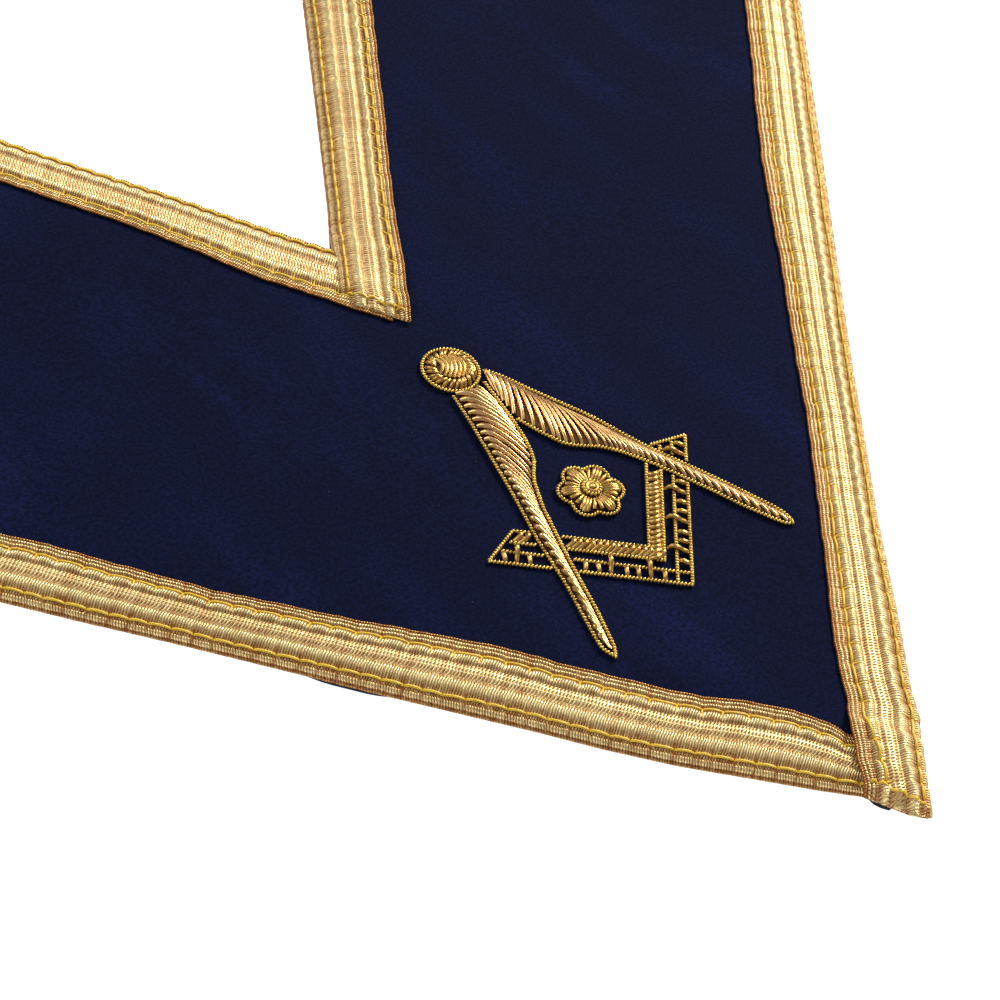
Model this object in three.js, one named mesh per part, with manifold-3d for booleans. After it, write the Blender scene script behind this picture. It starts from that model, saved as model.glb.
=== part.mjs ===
// Velvet collar with metallic lace borders and a raised square and compasses, lying flat.
// Millimetres. +Y runs from the front tip to the back of the neck, +X to the right arm as seen
// from above with the tip towards the viewer, +Z up. The origin is under the collar's middle.
import * as THREE from "three";
import Module from "manifold-3d";

const RADIANS = Math.PI / 180;

// Driving dimensions of the outline
const outerHalfAngle = 40.6 * RADIANS;
const innerHalfAngle = 34.7 * RADIANS;
const outerRadius = 217;
const openingRadius = 105;
const openingCornerY = 166;

// Layers
const layerGap = 0.3;
const liningThickness = 1.0;
const velvetEdgeThickness = 1.0;
const velvetCrown = 1.6;
const crownWidth = 18;
const liningInset = 0.3;
const velvetInset = 0.6;

// Lace border
const laceWidth = 14.2;
const laceThickness = 1.0;
const laceEndInset = 0.8;
const overlapRamp = 5;
const backSeamGap = 0.4;

// Emblem, placed by the outer corner of the square
const emblemCornerX = -1.3;
const emblemCornerY = 60.5;
const emblemTurn = 3.4 * RADIANS;
const compassHingeHeight = 64.4;
const compassHalfAngle = 22 * RADIANS;
const compassLegLength = 71;
const compassPadHeight = 2.1;
const compassTipHeight = 1.3;
const compassHeadRadius = 6.2;
const compassHeadHeight = 1.9;
const squareHalfAngle = 46 * RADIANS;
const squareArmLength = 39;
const squareWidth = 8.8;
const squareEndSlant = 30 * RADIANS;
const squareBandWidth = 2.4;
const squareBandHeight = 1.1;
const scaleWidth = 3.0;
const purlWidth = 0.9;
const purlHeight = 0.8;
const rosetteOffsetX = 1.5;
const rosetteHeight = 27.5;
const rosetteRadius = 6.5;
const rosetteRelief = 1.6;
const rosettePetals = 6;

// Steps of the facets
const lineSteps = 8;
const arcSteps = 18;
const nearEndSteps = 9;
const nearEndStep = 2.6;
const headSides = 24;
const petalSides = 6;

// Heights worked out from the layers
const velvetBottom = liningThickness + layerGap;
const velvetEdgeTop = velvetBottom + velvetEdgeThickness;
const emblemBase = velvetEdgeTop + velvetCrown + layerGap;

// The back arc of the outline is tangent to the straight arms
const outerCentreY = outerRadius / Math.sin(outerHalfAngle);
const openingCentreY = openingCornerY + openingRadius / Math.sin(innerHalfAngle);
const overallLength = outerCentreY + outerRadius;

const OUTER = { angle: outerHalfAngle, cornerY: 0, radius: outerRadius, centreY: outerCentreY, inward: -1 };
const OPENING = {
  angle: innerHalfAngle,
  cornerY: openingCornerY,
  radius: openingRadius,
  centreY: openingCentreY,
  inward: 1,
};

// Rise of the lace across its width, as shares of its width and thickness
const laceProfile = [
  { across: 0.0, rise: 0.55 },
  { across: 0.035, rise: 1.0 },
  { across: 0.08, rise: 0.68 },
  { across: 0.12, rise: 0.92 },
  { across: 0.17, rise: 0.6 },
  { across: 0.27, rise: 1.0 },
  { across: 0.38, rise: 0.7 },
  { across: 0.5, rise: 0.88 },
  { across: 0.62, rise: 0.7 },
  { across: 0.73, rise: 1.0 },
  { across: 0.83, rise: 0.6 },
  { across: 0.88, rise: 0.92 },
  { across: 0.92, rise: 0.68 },
  { across: 0.965, rise: 1.0 },
  { across: 1.0, rise: 0.55 },
];
const laceUnderside = [1.0, 0.66, 0.33, 0.0];

// Where the velvet's top is sampled in from each edge, as shares of the crown's width
const velvetRows = [0, 0.12, 0.35, 0.65, 1.0];

// Each leg of the compasses: place along it, reach to its outer and its inner side.
// Along is a share of the leg's length, and the two reaches are shares of the head's radius.
const rightLeg = [
  { along: 0.09, outer: 0.62, inner: 0.38 },
  { along: 0.125, outer: 0.92, inner: 0.06 },
  { along: 0.24, outer: 0.96, inner: -0.8 },
  { along: 0.36, outer: 0.9, inner: -0.88 },
  { along: 0.41, outer: 0.84, inner: -0.66 },
  { along: 0.46, outer: 0.78, inner: -0.38 },
  { along: 0.6, outer: 0.66, inner: -0.14 },
  { along: 0.74, outer: 0.54, inner: -0.18 },
  { along: 0.88, outer: 0.36, inner: -0.14 },
  { along: 0.98, outer: 0.22, inner: -0.1 },
  { along: 1.0, outer: 0.12, inner: -0.02 },
];
const leftLeg = [
  { along: 0.05, outer: 0.42, inner: -0.88 },
  { along: 0.16, outer: 0.26, inner: -0.92 },
  { along: 0.27, outer: 0.19, inner: -0.92 },
  { along: 0.34, outer: 0.14, inner: -0.82 },
  { along: 0.425, outer: 0.1, inner: -0.52 },
  { along: 0.55, outer: 0.05, inner: -0.36 },
  { along: 0.74, outer: -0.02, inner: -0.3 },
  { along: 0.88, outer: -0.06, inner: -0.34 },
  { along: 0.98, outer: -0.12, inner: -0.36 },
  { along: 1.0, outer: -0.2, inner: -0.3 },
];

// Cross-section of a padded leg or band, over its half width and its height
const paddedSection = [
  { across: -1.0, rise: 0.0 },
  { across: -0.9, rise: 0.5 },
  { across: -0.55, rise: 0.9 },
  { across: 0.0, rise: 1.0 },
  { across: 0.55, rise: 0.9 },
  { across: 0.9, rise: 0.5 },
  { across: 1.0, rise: 0.0 },
];

// The compass head from its rim bead to its domed middle
const headProfile = [
  { radius: 1.0, rise: 0.0 },
  { radius: 1.0, rise: 0.45 },
  { radius: 0.92, rise: 0.7 },
  { radius: 0.82, rise: 0.5 },
  { radius: 0.7, rise: 0.82 },
  { radius: 0.55, rise: 0.62 },
  { radius: 0.3, rise: 0.95 },
  { radius: 0.0, rise: 1.0 },
];

// The rosette's rings from its rim to its domed middle: notch draws the rim in between petals
const rosetteRings = [
  { radius: 1.0, rise: 0.3, notch: 0.22 },
  { radius: 0.9, rise: 0.75, notch: 0.18 },
  { radius: 0.65, rise: 0.95, notch: 0.1 },
  { radius: 0.42, rise: 0.55, notch: 0.03 },
  { radius: 0.34, rise: 0.8, notch: 0.0 },
  { radius: 0.15, rise: 1.0, notch: 0.0 },
];

const materials = {
  lining: { color: 0x0d1024, roughness: 0.9, metalness: 0 },
  velvet: { color: 0x101534, roughness: 0.95, metalness: 0 },
  lace: { color: 0xc9a05c, roughness: 0.45, metalness: 0.5 },
  bullion: { color: 0xb88a3e, roughness: 0.35, metalness: 0.9 },
};

const smooth = (share) => {
  const t = Math.min(Math.max(share, 0), 1);
  return t * t * (3 - 2 * t);
};

// Distance in from the nearer edge of the collar; both arms are alike, so x counts unsigned
function depthInside(x, y) {
  const side = Math.abs(x);
  const distanceTo = (edge) => {
    const fromCentre = Math.hypot(side, y - edge.centreY);
    const arcAngle = Math.atan2(y - edge.centreY, side);
    const toLine = side * Math.cos(edge.angle) - (y - edge.cornerY) * Math.sin(edge.angle);
    const beyond = arcAngle > -edge.angle ? fromCentre - edge.radius : toLine;
    return beyond * edge.inward;
  };
  return Math.min(distanceTo(OUTER), distanceTo(OPENING));
}

// The velvet is padded, so its top swells from each edge to a flat middle
function velvetTop(x, y) {
  const share = Math.min(Math.max(depthInside(x, y) / crownWidth, 0), 1);
  return velvetEdgeTop + velvetCrown * (1 - (1 - share) * (1 - share));
}

// One line that runs beside an edge at an offset, from its start to the back of the neck
function edgeRow(edge, offset, { start, nearSteps = 0, backX = 0 } = {}) {
  const radius = edge.radius + offset * edge.inward;
  const tangent = new THREE.Vector2(radius * Math.cos(edge.angle), edge.centreY - radius * Math.sin(edge.angle));
  const mitre = new THREE.Vector2(0, edge.cornerY - (offset * edge.inward) / Math.sin(edge.angle));
  const first = start ?? mitre;
  const length = first.distanceTo(tangent);
  const nearLength = nearSteps * nearEndStep;
  const points = [];
  for (let i = 0; i < nearSteps; i += 1) {
    points.push(first.clone().lerp(tangent, (i * nearEndStep) / length));
  }
  for (let i = 0; i < lineSteps; i += 1) {
    const along = nearLength + ((length - nearLength) * i) / lineSteps;
    points.push(first.clone().lerp(tangent, along / length));
  }
  const endAngle = Math.PI / 2 - Math.asin(backX / radius);
  for (let i = 0; i <= arcSteps; i += 1) {
    const angle = -edge.angle + ((endAngle + edge.angle) * i) / arcSteps;
    points.push(new THREE.Vector2(radius * Math.cos(angle), edge.centreY + radius * Math.sin(angle)));
  }
  return points;
}

// Where a row of one arm meets a row of the other arm, both given by their offsets
function crossingOfArms(edge, ownOffset, otherOffset) {
  const own = ownOffset * edge.inward;
  const other = otherOffset * edge.inward;
  const x = (own - other) / (2 * Math.cos(edge.angle));
  const y = edge.cornerY - (own + other) / (2 * Math.sin(edge.angle));
  return new THREE.Vector2(x, y);
}

function meshFrom(positions, triangles, name, finish) {
  let volume = 0;
  const a = new THREE.Vector3();
  const b = new THREE.Vector3();
  const c = new THREE.Vector3();
  for (const [i, j, k] of triangles) {
    a.fromArray(positions[i]);
    b.fromArray(positions[j]);
    c.fromArray(positions[k]);
    volume += a.dot(b.cross(c));
  }
  const ordered = volume > 0 ? triangles : triangles.map(([i, j, k]) => [i, k, j]);
  const geometry = new THREE.BufferGeometry();
  geometry.setAttribute("position", new THREE.Float32BufferAttribute(positions.flat(), 3));
  geometry.setIndex(ordered.flat());
  geometry.computeVertexNormals();
  const mesh = new THREE.Mesh(geometry, new THREE.MeshStandardMaterial(materials[finish]));
  mesh.name = name;
  return mesh;
}

// Joins closed sections of equal count into one solid; a ring has no ends, a run is capped
function loft(sections, { closed, capShape, name, finish }) {
  const count = sections[0].length;
  const positions = sections.flat();
  const triangles = [];
  const spans = closed ? sections.length : sections.length - 1;
  for (let i = 0; i < spans; i += 1) {
    const here = i * count;
    const next = ((i + 1) % sections.length) * count;
    for (let j = 0; j < count; j += 1) {
      const k = (j + 1) % count;
      triangles.push([here + j, next + j, next + k], [here + j, next + k, here + k]);
    }
  }
  if (!closed) {
    const last = (sections.length - 1) * count;
    for (const [p, q, r] of capFaces(capShape)) {
      triangles.push([p, q, r], [last + p, last + r, last + q]);
    }
  }
  return meshFrom(positions, triangles, name, finish);
}

// Triangles of a cap, each running round the same way as the section's outline
function capFaces(capShape) {
  const outline = THREE.ShapeUtils.area(capShape);
  return THREE.ShapeUtils.triangulateShape(capShape, []).map((face) => {
    const turn = THREE.ShapeUtils.area(face.map((index) => capShape[index]));
    return turn * outline < 0 ? [...face].reverse() : face;
  });
}

// A cloth layer all round the collar: rows of [edge, offset, height] make its closed section
function clothRing(rows, name, finish) {
  const lines = rows.map((row) => ({ ...row, points: edgeRow(row.edge, row.offset) }));
  const halfCount = lines[0].points.length;
  const sectionAt = (index, side) =>
    lines.map(({ points, height }) => {
      const { x, y } = points[index];
      return [side * x, y, height(x, y)];
    });
  const right = Array.from({ length: halfCount }, (_, i) => sectionAt(i, 1));
  const left = Array.from({ length: halfCount - 2 }, (_, i) => sectionAt(halfCount - 2 - i, -1));
  return loft([...right, ...left], { closed: true, name, finish });
}

function makeLining() {
  const bottom = () => 0;
  const top = () => liningThickness;
  return clothRing(
    [
      { edge: OUTER, offset: liningInset, height: bottom },
      { edge: OUTER, offset: liningInset, height: top },
      { edge: OPENING, offset: liningInset, height: top },
      { edge: OPENING, offset: liningInset, height: bottom },
    ],
    "lining",
    "lining",
  );
}

function makeVelvet() {
  const bottom = () => velvetBottom;
  const rowsFrom = (edge) =>
    velvetRows.map((share) => ({
      edge,
      offset: velvetInset + share * (crownWidth - velvetInset),
      height: velvetTop,
    }));
  return clothRing(
    [
      { edge: OUTER, offset: velvetInset, height: bottom },
      ...rowsFrom(OUTER),
      ...rowsFrom(OPENING).reverse(),
      { edge: OPENING, offset: velvetInset, height: bottom },
    ],
    "velvet_face",
    "velvet",
  );
}

// How far the upper lace of a crossing is raised over the lower one
function crossingLift(edge, x, y) {
  const towardsOther = x * Math.cos(edge.angle) + (y - edge.cornerY) * Math.sin(edge.angle);
  const past = edge === OUTER ? laceWidth + overlapRamp - towardsOther : overlapRamp - towardsOther;
  return (laceThickness + layerGap) * smooth(past / (overlapRamp - layerGap));
}

// A lace along one edge of one arm. The upper one crosses over the other arm's lace at the
// front and is cut along that lace's far edge; the lower one ends underneath it.
function makeLace({ edge, side, upper, name }) {
  const farSide = edge === OUTER ? 0 : laceWidth;
  const hiddenEnd = edge === OUTER ? laceEndInset : laceWidth - laceEndInset;
  const cutOffset = upper ? farSide : hiddenEnd;
  const heightAt = (x, y, rise) => {
    const lift = upper ? crossingLift(edge, x, y) : 0;
    return velvetTop(x, y) + layerGap + lift + rise * laceThickness;
  };
  const profile = [...laceProfile, ...laceUnderside.map((across) => ({ across, rise: 0 }))];
  const rows = profile.map(({ across, rise }) => {
    const offset = across * laceWidth;
    const start = crossingOfArms(edge, offset, cutOffset);
    const points = edgeRow(edge, offset, { start, nearSteps: nearEndSteps, backX: backSeamGap / 2 });
    return points.map(({ x, y }) => [side * x, y, heightAt(x, y, rise)]);
  });
  const sections = rows[0].map((_, i) => rows.map((row) => row[i]));
  const capShape = profile.map(({ across, rise }) => new THREE.Vector2(across * laceWidth, rise * laceThickness));
  return loft(sections, { closed: false, capShape, name, finish: "lace" });
}

// Emblem coordinates, turned and moved onto the collar
function placeOnEmblem(x, y) {
  return [
    emblemCornerX + x * Math.cos(emblemTurn) - y * Math.sin(emblemTurn),
    emblemCornerY + x * Math.sin(emblemTurn) + y * Math.cos(emblemTurn),
  ];
}

const squareTop = Math.max(squareBandHeight, purlHeight);

// A leg arches over the square, between the shares of its length where it crosses the arm
function legUnderside(along) {
  const cornerDrop = compassHingeHeight * Math.sin(squareHalfAngle);
  const fallRate = Math.sin(squareHalfAngle + compassHalfAngle);
  const crossesOuter = cornerDrop / fallRate / compassLegLength;
  const crossesInner = (cornerDrop - squareWidth) / fallRate / compassLegLength;
  const margin = compassHeadRadius / compassLegLength;
  const middle = (crossesOuter + crossesInner) / 2;
  const halfSpan = (crossesOuter - crossesInner) / 2 + margin / 2;
  const share = (halfSpan + margin - Math.abs(along - middle)) / margin;
  return (squareTop + layerGap) * smooth(share);
}

function sampledLeg(table) {
  const samples = [];
  for (let i = 0; i < table.length - 1; i += 1) {
    const steps = 3;
    for (let j = 0; j < steps; j += 1) {
      const t = j / steps;
      const mix = (key) => table[i][key] * (1 - t) + table[i + 1][key] * t;
      samples.push({ along: mix("along"), outer: mix("outer"), inner: mix("inner") });
    }
  }
  samples.push(table[table.length - 1]);
  return samples;
}

function makeLeg(table, side, name) {
  const sin = Math.sin(compassHalfAngle);
  const cos = Math.cos(compassHalfAngle);
  const sections = sampledLeg(table).map(({ along, outer, inner }) => {
    const reach = along * compassLegLength;
    const middle = ((outer + inner) / 2) * compassHeadRadius;
    const half = ((outer - inner) / 2) * compassHeadRadius;
    const base = emblemBase + legUnderside(along);
    const pad = compassPadHeight + (compassTipHeight - compassPadHeight) * along;
    return paddedSection.map(({ across, rise }) => {
      const q = middle + across * half;
      const x = side * (reach * sin + q * cos);
      const y = compassHingeHeight - reach * cos + q * sin;
      return [...placeOnEmblem(x, y), base + rise * pad];
    });
  });
  const capShape = paddedSection.map(({ across, rise }) => new THREE.Vector2(across, rise));
  return loft(sections, { closed: false, capShape, name, finish: "bullion" });
}

function latheAt(profile, radius, height, sides, x, y, name) {
  const points = [new THREE.Vector2(0, 0)];
  for (const row of profile) {
    points.push(new THREE.Vector2(row.radius * radius, row.rise * height));
  }
  const lathe = new THREE.LatheGeometry(points, sides);
  lathe.rotateX(Math.PI / 2);
  const mesh = new THREE.Mesh(lathe, new THREE.MeshStandardMaterial(materials.bullion));
  mesh.name = name;
  const [px, py] = placeOnEmblem(x, y);
  mesh.position.set(px, py, emblemBase);
  return mesh;
}

function makeHead() {
  return latheAt(headProfile, compassHeadRadius, compassHeadHeight, headSides, 0, compassHingeHeight, "compass_head");
}

// A run in the plane through corner points, with mitred corners
function planRun(points, closed, section) {
  const count = points.length;
  return points.map((point, i) => {
    const before = points[closed ? (i + count - 1) % count : Math.max(i - 1, 0)];
    const after = points[closed ? (i + 1) % count : Math.min(i + 1, count - 1)];
    const toHere = point.clone().sub(before);
    const fromHere = after.clone().sub(point);
    const incoming = (toHere.lengthSq() > 0 ? toHere : fromHere).clone().normalize();
    const outgoing = (fromHere.lengthSq() > 0 ? fromHere : toHere).clone().normalize();
    const normalIn = new THREE.Vector2(-incoming.y, incoming.x);
    const normalOut = new THREE.Vector2(-outgoing.y, outgoing.x);
    const mitre = normalIn.clone().add(normalOut);
    mitre.multiplyScalar(1 / (1 + normalIn.dot(normalOut)));
    return section.map(({ offset, z }) => {
      const spot = point.clone().addScaledVector(mitre, offset);
      return [...placeOnEmblem(spot.x, spot.y), z];
    });
  });
}

// A point of the square: along one arm from the outer corner, and in from its outer side
function squarePoint(side, along, inset) {
  const sin = Math.sin(squareHalfAngle);
  const cos = Math.cos(squareHalfAngle);
  return new THREE.Vector2(side * (along * sin - inset * cos), along * cos + inset * sin);
}

// On the axis, where the lines at one inset of both arms meet
function squareCorner(inset) {
  return new THREE.Vector2(0, inset / Math.sin(squareHalfAngle));
}

// The arms are cut off at a slant, so a line further in ends nearer to the corner
function squareEnd(side, inset) {
  return squarePoint(side, squareArmLength - inset * Math.tan(squareEndSlant), inset);
}

const raisedSection = (width, height) =>
  paddedSection.map(({ across, rise }) => ({ offset: (across * width) / 2, z: emblemBase + rise * height }));

const sectionShape = (section) => section.map(({ offset, z }) => new THREE.Vector2(offset, z));

function makeSquareBorder() {
  const outside = purlWidth / 2;
  const inside = squareWidth - purlWidth / 2;
  const outline = [
    squareCorner(outside),
    squareEnd(1, outside),
    squareEnd(1, inside),
    squareCorner(inside),
    squareEnd(-1, inside),
    squareEnd(-1, outside),
  ];
  const sections = planRun(outline, true, raisedSection(purlWidth, purlHeight));
  return loft(sections, { closed: true, name: "square_border", finish: "bullion" });
}

function makeSquareRun(inset, width, height, name) {
  const clear = purlWidth + layerGap + width / 2;
  const shorten = (side) => {
    const end = squareEnd(side, inset);
    return end.lerp(squareCorner(inset), clear / squareArmLength);
  };
  const section = raisedSection(width, height);
  const sections = planRun([shorten(1), squareCorner(inset), shorten(-1)], false, section);
  return loft(sections, { closed: false, capShape: sectionShape(section), name, finish: "bullion" });
}

function makeSquareBand() {
  const inset = squareWidth - purlWidth - layerGap - squareBandWidth / 2;
  return makeSquareRun(inset, squareBandWidth, squareBandHeight, "square_band");
}

function makeScaleLine() {
  return makeSquareRun(scaleWidth, purlWidth, purlHeight, "square_scale_line");
}

function makeRosette() {
  const sides = rosettePetals * petalSides;
  const [centreX, centreY] = placeOnEmblem(rosetteOffsetX, rosetteHeight);
  const ringPoint = (ring, index, z) => {
    const angle = (2 * Math.PI * index) / sides;
    const between = Math.abs(Math.sin((rosettePetals * angle) / 2));
    const radius = rosetteRadius * (ring.radius - ring.notch * (1 - between));
    return [centreX + radius * Math.cos(angle), centreY + radius * Math.sin(angle), z];
  };
  const positions = [];
  const triangles = [];
  const rim = rosetteRings[0];
  const rings = [{ ...rim, rise: 0 }, ...rosetteRings];
  for (const ring of rings) {
    for (let i = 0; i < sides; i += 1) {
      positions.push(ringPoint(ring, i, emblemBase + ring.rise * rosetteRelief));
    }
  }
  const bottom = positions.push([centreX, centreY, emblemBase]) - 1;
  const top = positions.push([centreX, centreY, emblemBase + rosetteRelief]) - 1;
  const last = (rings.length - 1) * sides;
  for (let i = 0; i < sides; i += 1) {
    const next = (i + 1) % sides;
    triangles.push([bottom, next, i], [top, last + i, last + next]);
    for (let ring = 0; ring < rings.length - 1; ring += 1) {
      const low = ring * sides;
      const high = low + sides;
      triangles.push([low + i, low + next, high + next], [low + i, high + next, high + i]);
    }
  }
  return meshFrom(positions, triangles, "rosette", "bullion");
}

// The legs start clear of the head, so the head's round outline is cut out of them
const wasm = await Module();
wasm.setup();

function solidOf(mesh) {
  mesh.updateMatrixWorld();
  const source = mesh.geometry.clone().applyMatrix4(mesh.matrixWorld);
  const indexed = source.index ? source : source.setIndex([...source.attributes.position.array.keys()]);
  const vertProperties = new Float32Array(indexed.attributes.position.array);
  const triVerts = new Uint32Array(indexed.index.array);
  const solid = new wasm.Mesh({ numProp: 3, vertProperties, triVerts });
  solid.merge();
  return new wasm.Manifold(solid);
}

function cutAway(mesh, cutter) {
  const { vertProperties, triVerts } = solidOf(mesh).subtract(solidOf(cutter)).getMesh();
  const geometry = new THREE.BufferGeometry();
  geometry.setAttribute("position", new THREE.Float32BufferAttribute(vertProperties, 3));
  geometry.setIndex([...triVerts]);
  geometry.computeVertexNormals();
  mesh.geometry = geometry;
  return mesh;
}

function headClearance() {
  const radius = compassHeadRadius + layerGap;
  const height = 2 * compassPadHeight;
  const cutter = new THREE.Mesh(new THREE.CylinderGeometry(radius, radius, height, headSides).rotateX(Math.PI / 2));
  const [x, y] = placeOnEmblem(0, compassHingeHeight);
  cutter.position.set(x, y, emblemBase);
  return cutter;
}

const collar = new THREE.Group();
const pieces = [
  makeLining(),
  makeVelvet(),
  makeLace({ edge: OUTER, side: -1, upper: false, name: "outer_lace_left" }),
  makeLace({ edge: OUTER, side: 1, upper: true, name: "outer_lace_right" }),
  makeLace({ edge: OPENING, side: -1, upper: false, name: "inner_lace_left" }),
  makeLace({ edge: OPENING, side: 1, upper: true, name: "inner_lace_right" }),
  makeHead(),
  cutAway(makeLeg(leftLeg, -1, "compass_leg_left"), headClearance()),
  cutAway(makeLeg(rightLeg, 1, "compass_leg_right"), headClearance()),
  makeSquareBorder(),
  makeSquareBand(),
  makeScaleLine(),
  makeRosette(),
];
collar.add(...pieces);
collar.position.set(0, -overallLength / 2, 0);

export default collar;
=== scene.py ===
"""The looks of a velvet collar with metallic lace borders and a bullion square and compasses.

Lengths are metres, in the frame of the packed model: +Y runs from the front tip to the back of the
neck, +X to the right arm, whose laces lie on top at the front, and +Z out of the velvet.
"""

from collections import namedtuple
from math import cos, pi, radians, sin, sqrt, tan

import bpy
import numpy as np
from bpy.props import FloatProperty, FloatVectorProperty, IntProperty, PointerProperty
from mathutils import Euler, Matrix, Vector


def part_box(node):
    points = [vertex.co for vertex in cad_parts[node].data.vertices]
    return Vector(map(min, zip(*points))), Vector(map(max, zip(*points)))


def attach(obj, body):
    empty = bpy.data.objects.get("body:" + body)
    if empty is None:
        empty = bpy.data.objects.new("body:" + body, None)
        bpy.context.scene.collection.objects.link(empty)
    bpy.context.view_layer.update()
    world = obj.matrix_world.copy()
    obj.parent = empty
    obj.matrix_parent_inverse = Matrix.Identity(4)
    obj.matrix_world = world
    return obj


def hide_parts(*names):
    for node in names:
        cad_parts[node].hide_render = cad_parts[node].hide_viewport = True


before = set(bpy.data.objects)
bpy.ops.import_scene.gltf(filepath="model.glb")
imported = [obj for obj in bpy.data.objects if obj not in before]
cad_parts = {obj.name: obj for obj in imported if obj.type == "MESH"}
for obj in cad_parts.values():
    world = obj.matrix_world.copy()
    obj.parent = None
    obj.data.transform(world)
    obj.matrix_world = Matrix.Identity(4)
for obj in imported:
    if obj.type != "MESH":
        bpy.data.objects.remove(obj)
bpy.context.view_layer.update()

bl_info = {
    "name": "Velvet collar",
    "version": (1, 0, 0),
    "blender": (4, 5, 0),
    "location": "View3D > Sidebar > Collar",
    "description": "Builds a lace-bordered velvet collar with a bullion square and compasses",
    "category": "Object",
}

MM = 0.001
FLOOR_SIZE = 40
LIGHT_TARGET = Vector((0, -150 * MM, 0))
LIGHT_DISTANCE = 3.0

# The collar's outline, with the sizes that its solids have
Edge = namedtuple("Edge", "angle corner_y radius centre_y inward straight middle_radius")
TIP_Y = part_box("outer_lace_right")[0].y
OPENING_CORNER_Y = TIP_Y + 166 * MM
LACE_WIDTH = 14.2 * MM


def outline_edge(half_angle, corner_y, radius, inward):
    """A straight edge on each side of a corner, closed by an arc round the back of the neck."""
    centre_y = corner_y + radius / sin(half_angle)
    straight = radius / tan(half_angle)
    return Edge(half_angle, corner_y, radius, centre_y, inward, straight, radius + 0.5 * LACE_WIDTH * inward)


OUTER = outline_edge(radians(40.6), TIP_Y, 217 * MM, -1)
OPENING = outline_edge(radians(34.7), OPENING_CORNER_Y, 105 * MM, 1)

# Heights of the layers
LINING_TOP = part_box("lining")[1].z
VELVET_EDGE_TOP = 2.3 * MM
VELVET_CROWN = 1.6 * MM
CROWN_WIDTH = 18 * MM
VELVET_INSET = 1.3 * MM
VELVET_UNEVEN = 0.12 * MM
VELVET_PRESSED = 1.25 * MM
PRESSED_INSET = 1.2 * MM
PRESSED_FADE = 1.6 * MM
VELVET_MIDDLE = (30 * MM, 42 * MM)
WANDER_FADE = 8 * MM
EMBLEM_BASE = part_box("square_border")[0].z
EMBLEM_SEAT = EMBLEM_BASE - 0.25 * MM

# The lace: how it wraps down over the cloth's edge, and crosses the other one at the corners
LACE_BASE = 0.25 * MM
WRAP_LENGTH = 2.6 * MM
WRAP_ANGLE = radians(64)
WRAP_OFFSET = 2.0 * MM
CROSSING_LIFT = 1.25 * MM
CROSSING_RAMP = 5 * MM
BACK_SEAM_GAP = 0.2 * MM
LACE_UNDERSIDE = (0.92, 0.62, 0.34, 0.1)
UNDERSIDE_HEIGHT = 0.04 * MM
EVEN_ROWS_FROM = 24 * MM
SCALLOP_DEPTH = 0.12 * MM
SCALLOP_WAVE = 9 * MM
SWAY_DEPTH = 0.16 * MM
SWAY_WAVE = 37 * MM

# The cut ends of the upper laces: turned down, and at the tip rounded, worn and slanted
TIP_END_DROP = 1.5 * MM
CORNER_END_DROP = 1.0 * MM
CORNER_END = 13.6 * MM
CORNER_END_LENGTH = 2 * MM
END_LENGTH = 2.6 * MM
END_ROUNDING = 1.7 * MM
END_WEAR = 0.8 * MM
END_WEAR_PLACE = 10.8 * MM
END_WEAR_LENGTH = 2 * MM
END_SLANT = 1.2 * MM
END_STITCH_INSET = 2.3 * MM

Lace = namedtuple("Lace", "name edge side upper cut_offset outline widen")
Band = namedtuple("Band", "weave start end rise columns")
Sewn = namedtuple("Sewn", "share pitch phase marks")
Wander = namedtuple("Wander", "along shift")

# The woven bands across the lace from the cloth's edge inwards, as shares of its width
LACE_BANDS = (
    Band("rib", 0.0, 0.05, 0.5 * MM, 4),
    Band("cord", 0.05, 0.12, 0.62 * MM, 5),
    Band("valley", 0.12, 0.2, 0.3 * MM, 4),
    Band("satin", 0.2, 0.405, 1.05 * MM, 9),
    Band("basket", 0.405, 0.635, 0.75 * MM, 8),
    Band("satin", 0.635, 0.79, 0.95 * MM, 8),
    Band("valley", 0.79, 0.84, 0.25 * MM, 4),
    Band("cord", 0.84, 0.9, 0.58 * MM, 4),
    Band("cord", 0.9, 0.96, 0.55 * MM, 4),
    Band("rib", 0.96, 1.0, 0.5 * MM, 4),
)

# Sewing lines along each lace: the one by the cloth's edge and the one by the velvet
EDGE_LINE = Sewn(0.16, 3.7 * MM, 0.3, 0.0)
VELVET_LINE = Sewn(0.815, 4.4 * MM, 0.65, 1.3 * MM)
SEWING_LINES = (EDGE_LINE, VELVET_LINE)
FIRST_HOLE = 2.6 * MM
LAST_HOLE = 1.5 * MM
LINE_DEPTH = 0.06 * MM
PINCH_LENGTH = 0.8 * MM
PRESSED_WIDTH = 0.5 * MM
PULLED_WIDTH = 2.0 * MM


def wanders(*pairs):
    """Wander rows from pairs in mm: a place along an edge, and how far the edge strays there."""
    return [Wander(along * MM, shift * MM) for along, shift in pairs]


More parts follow.
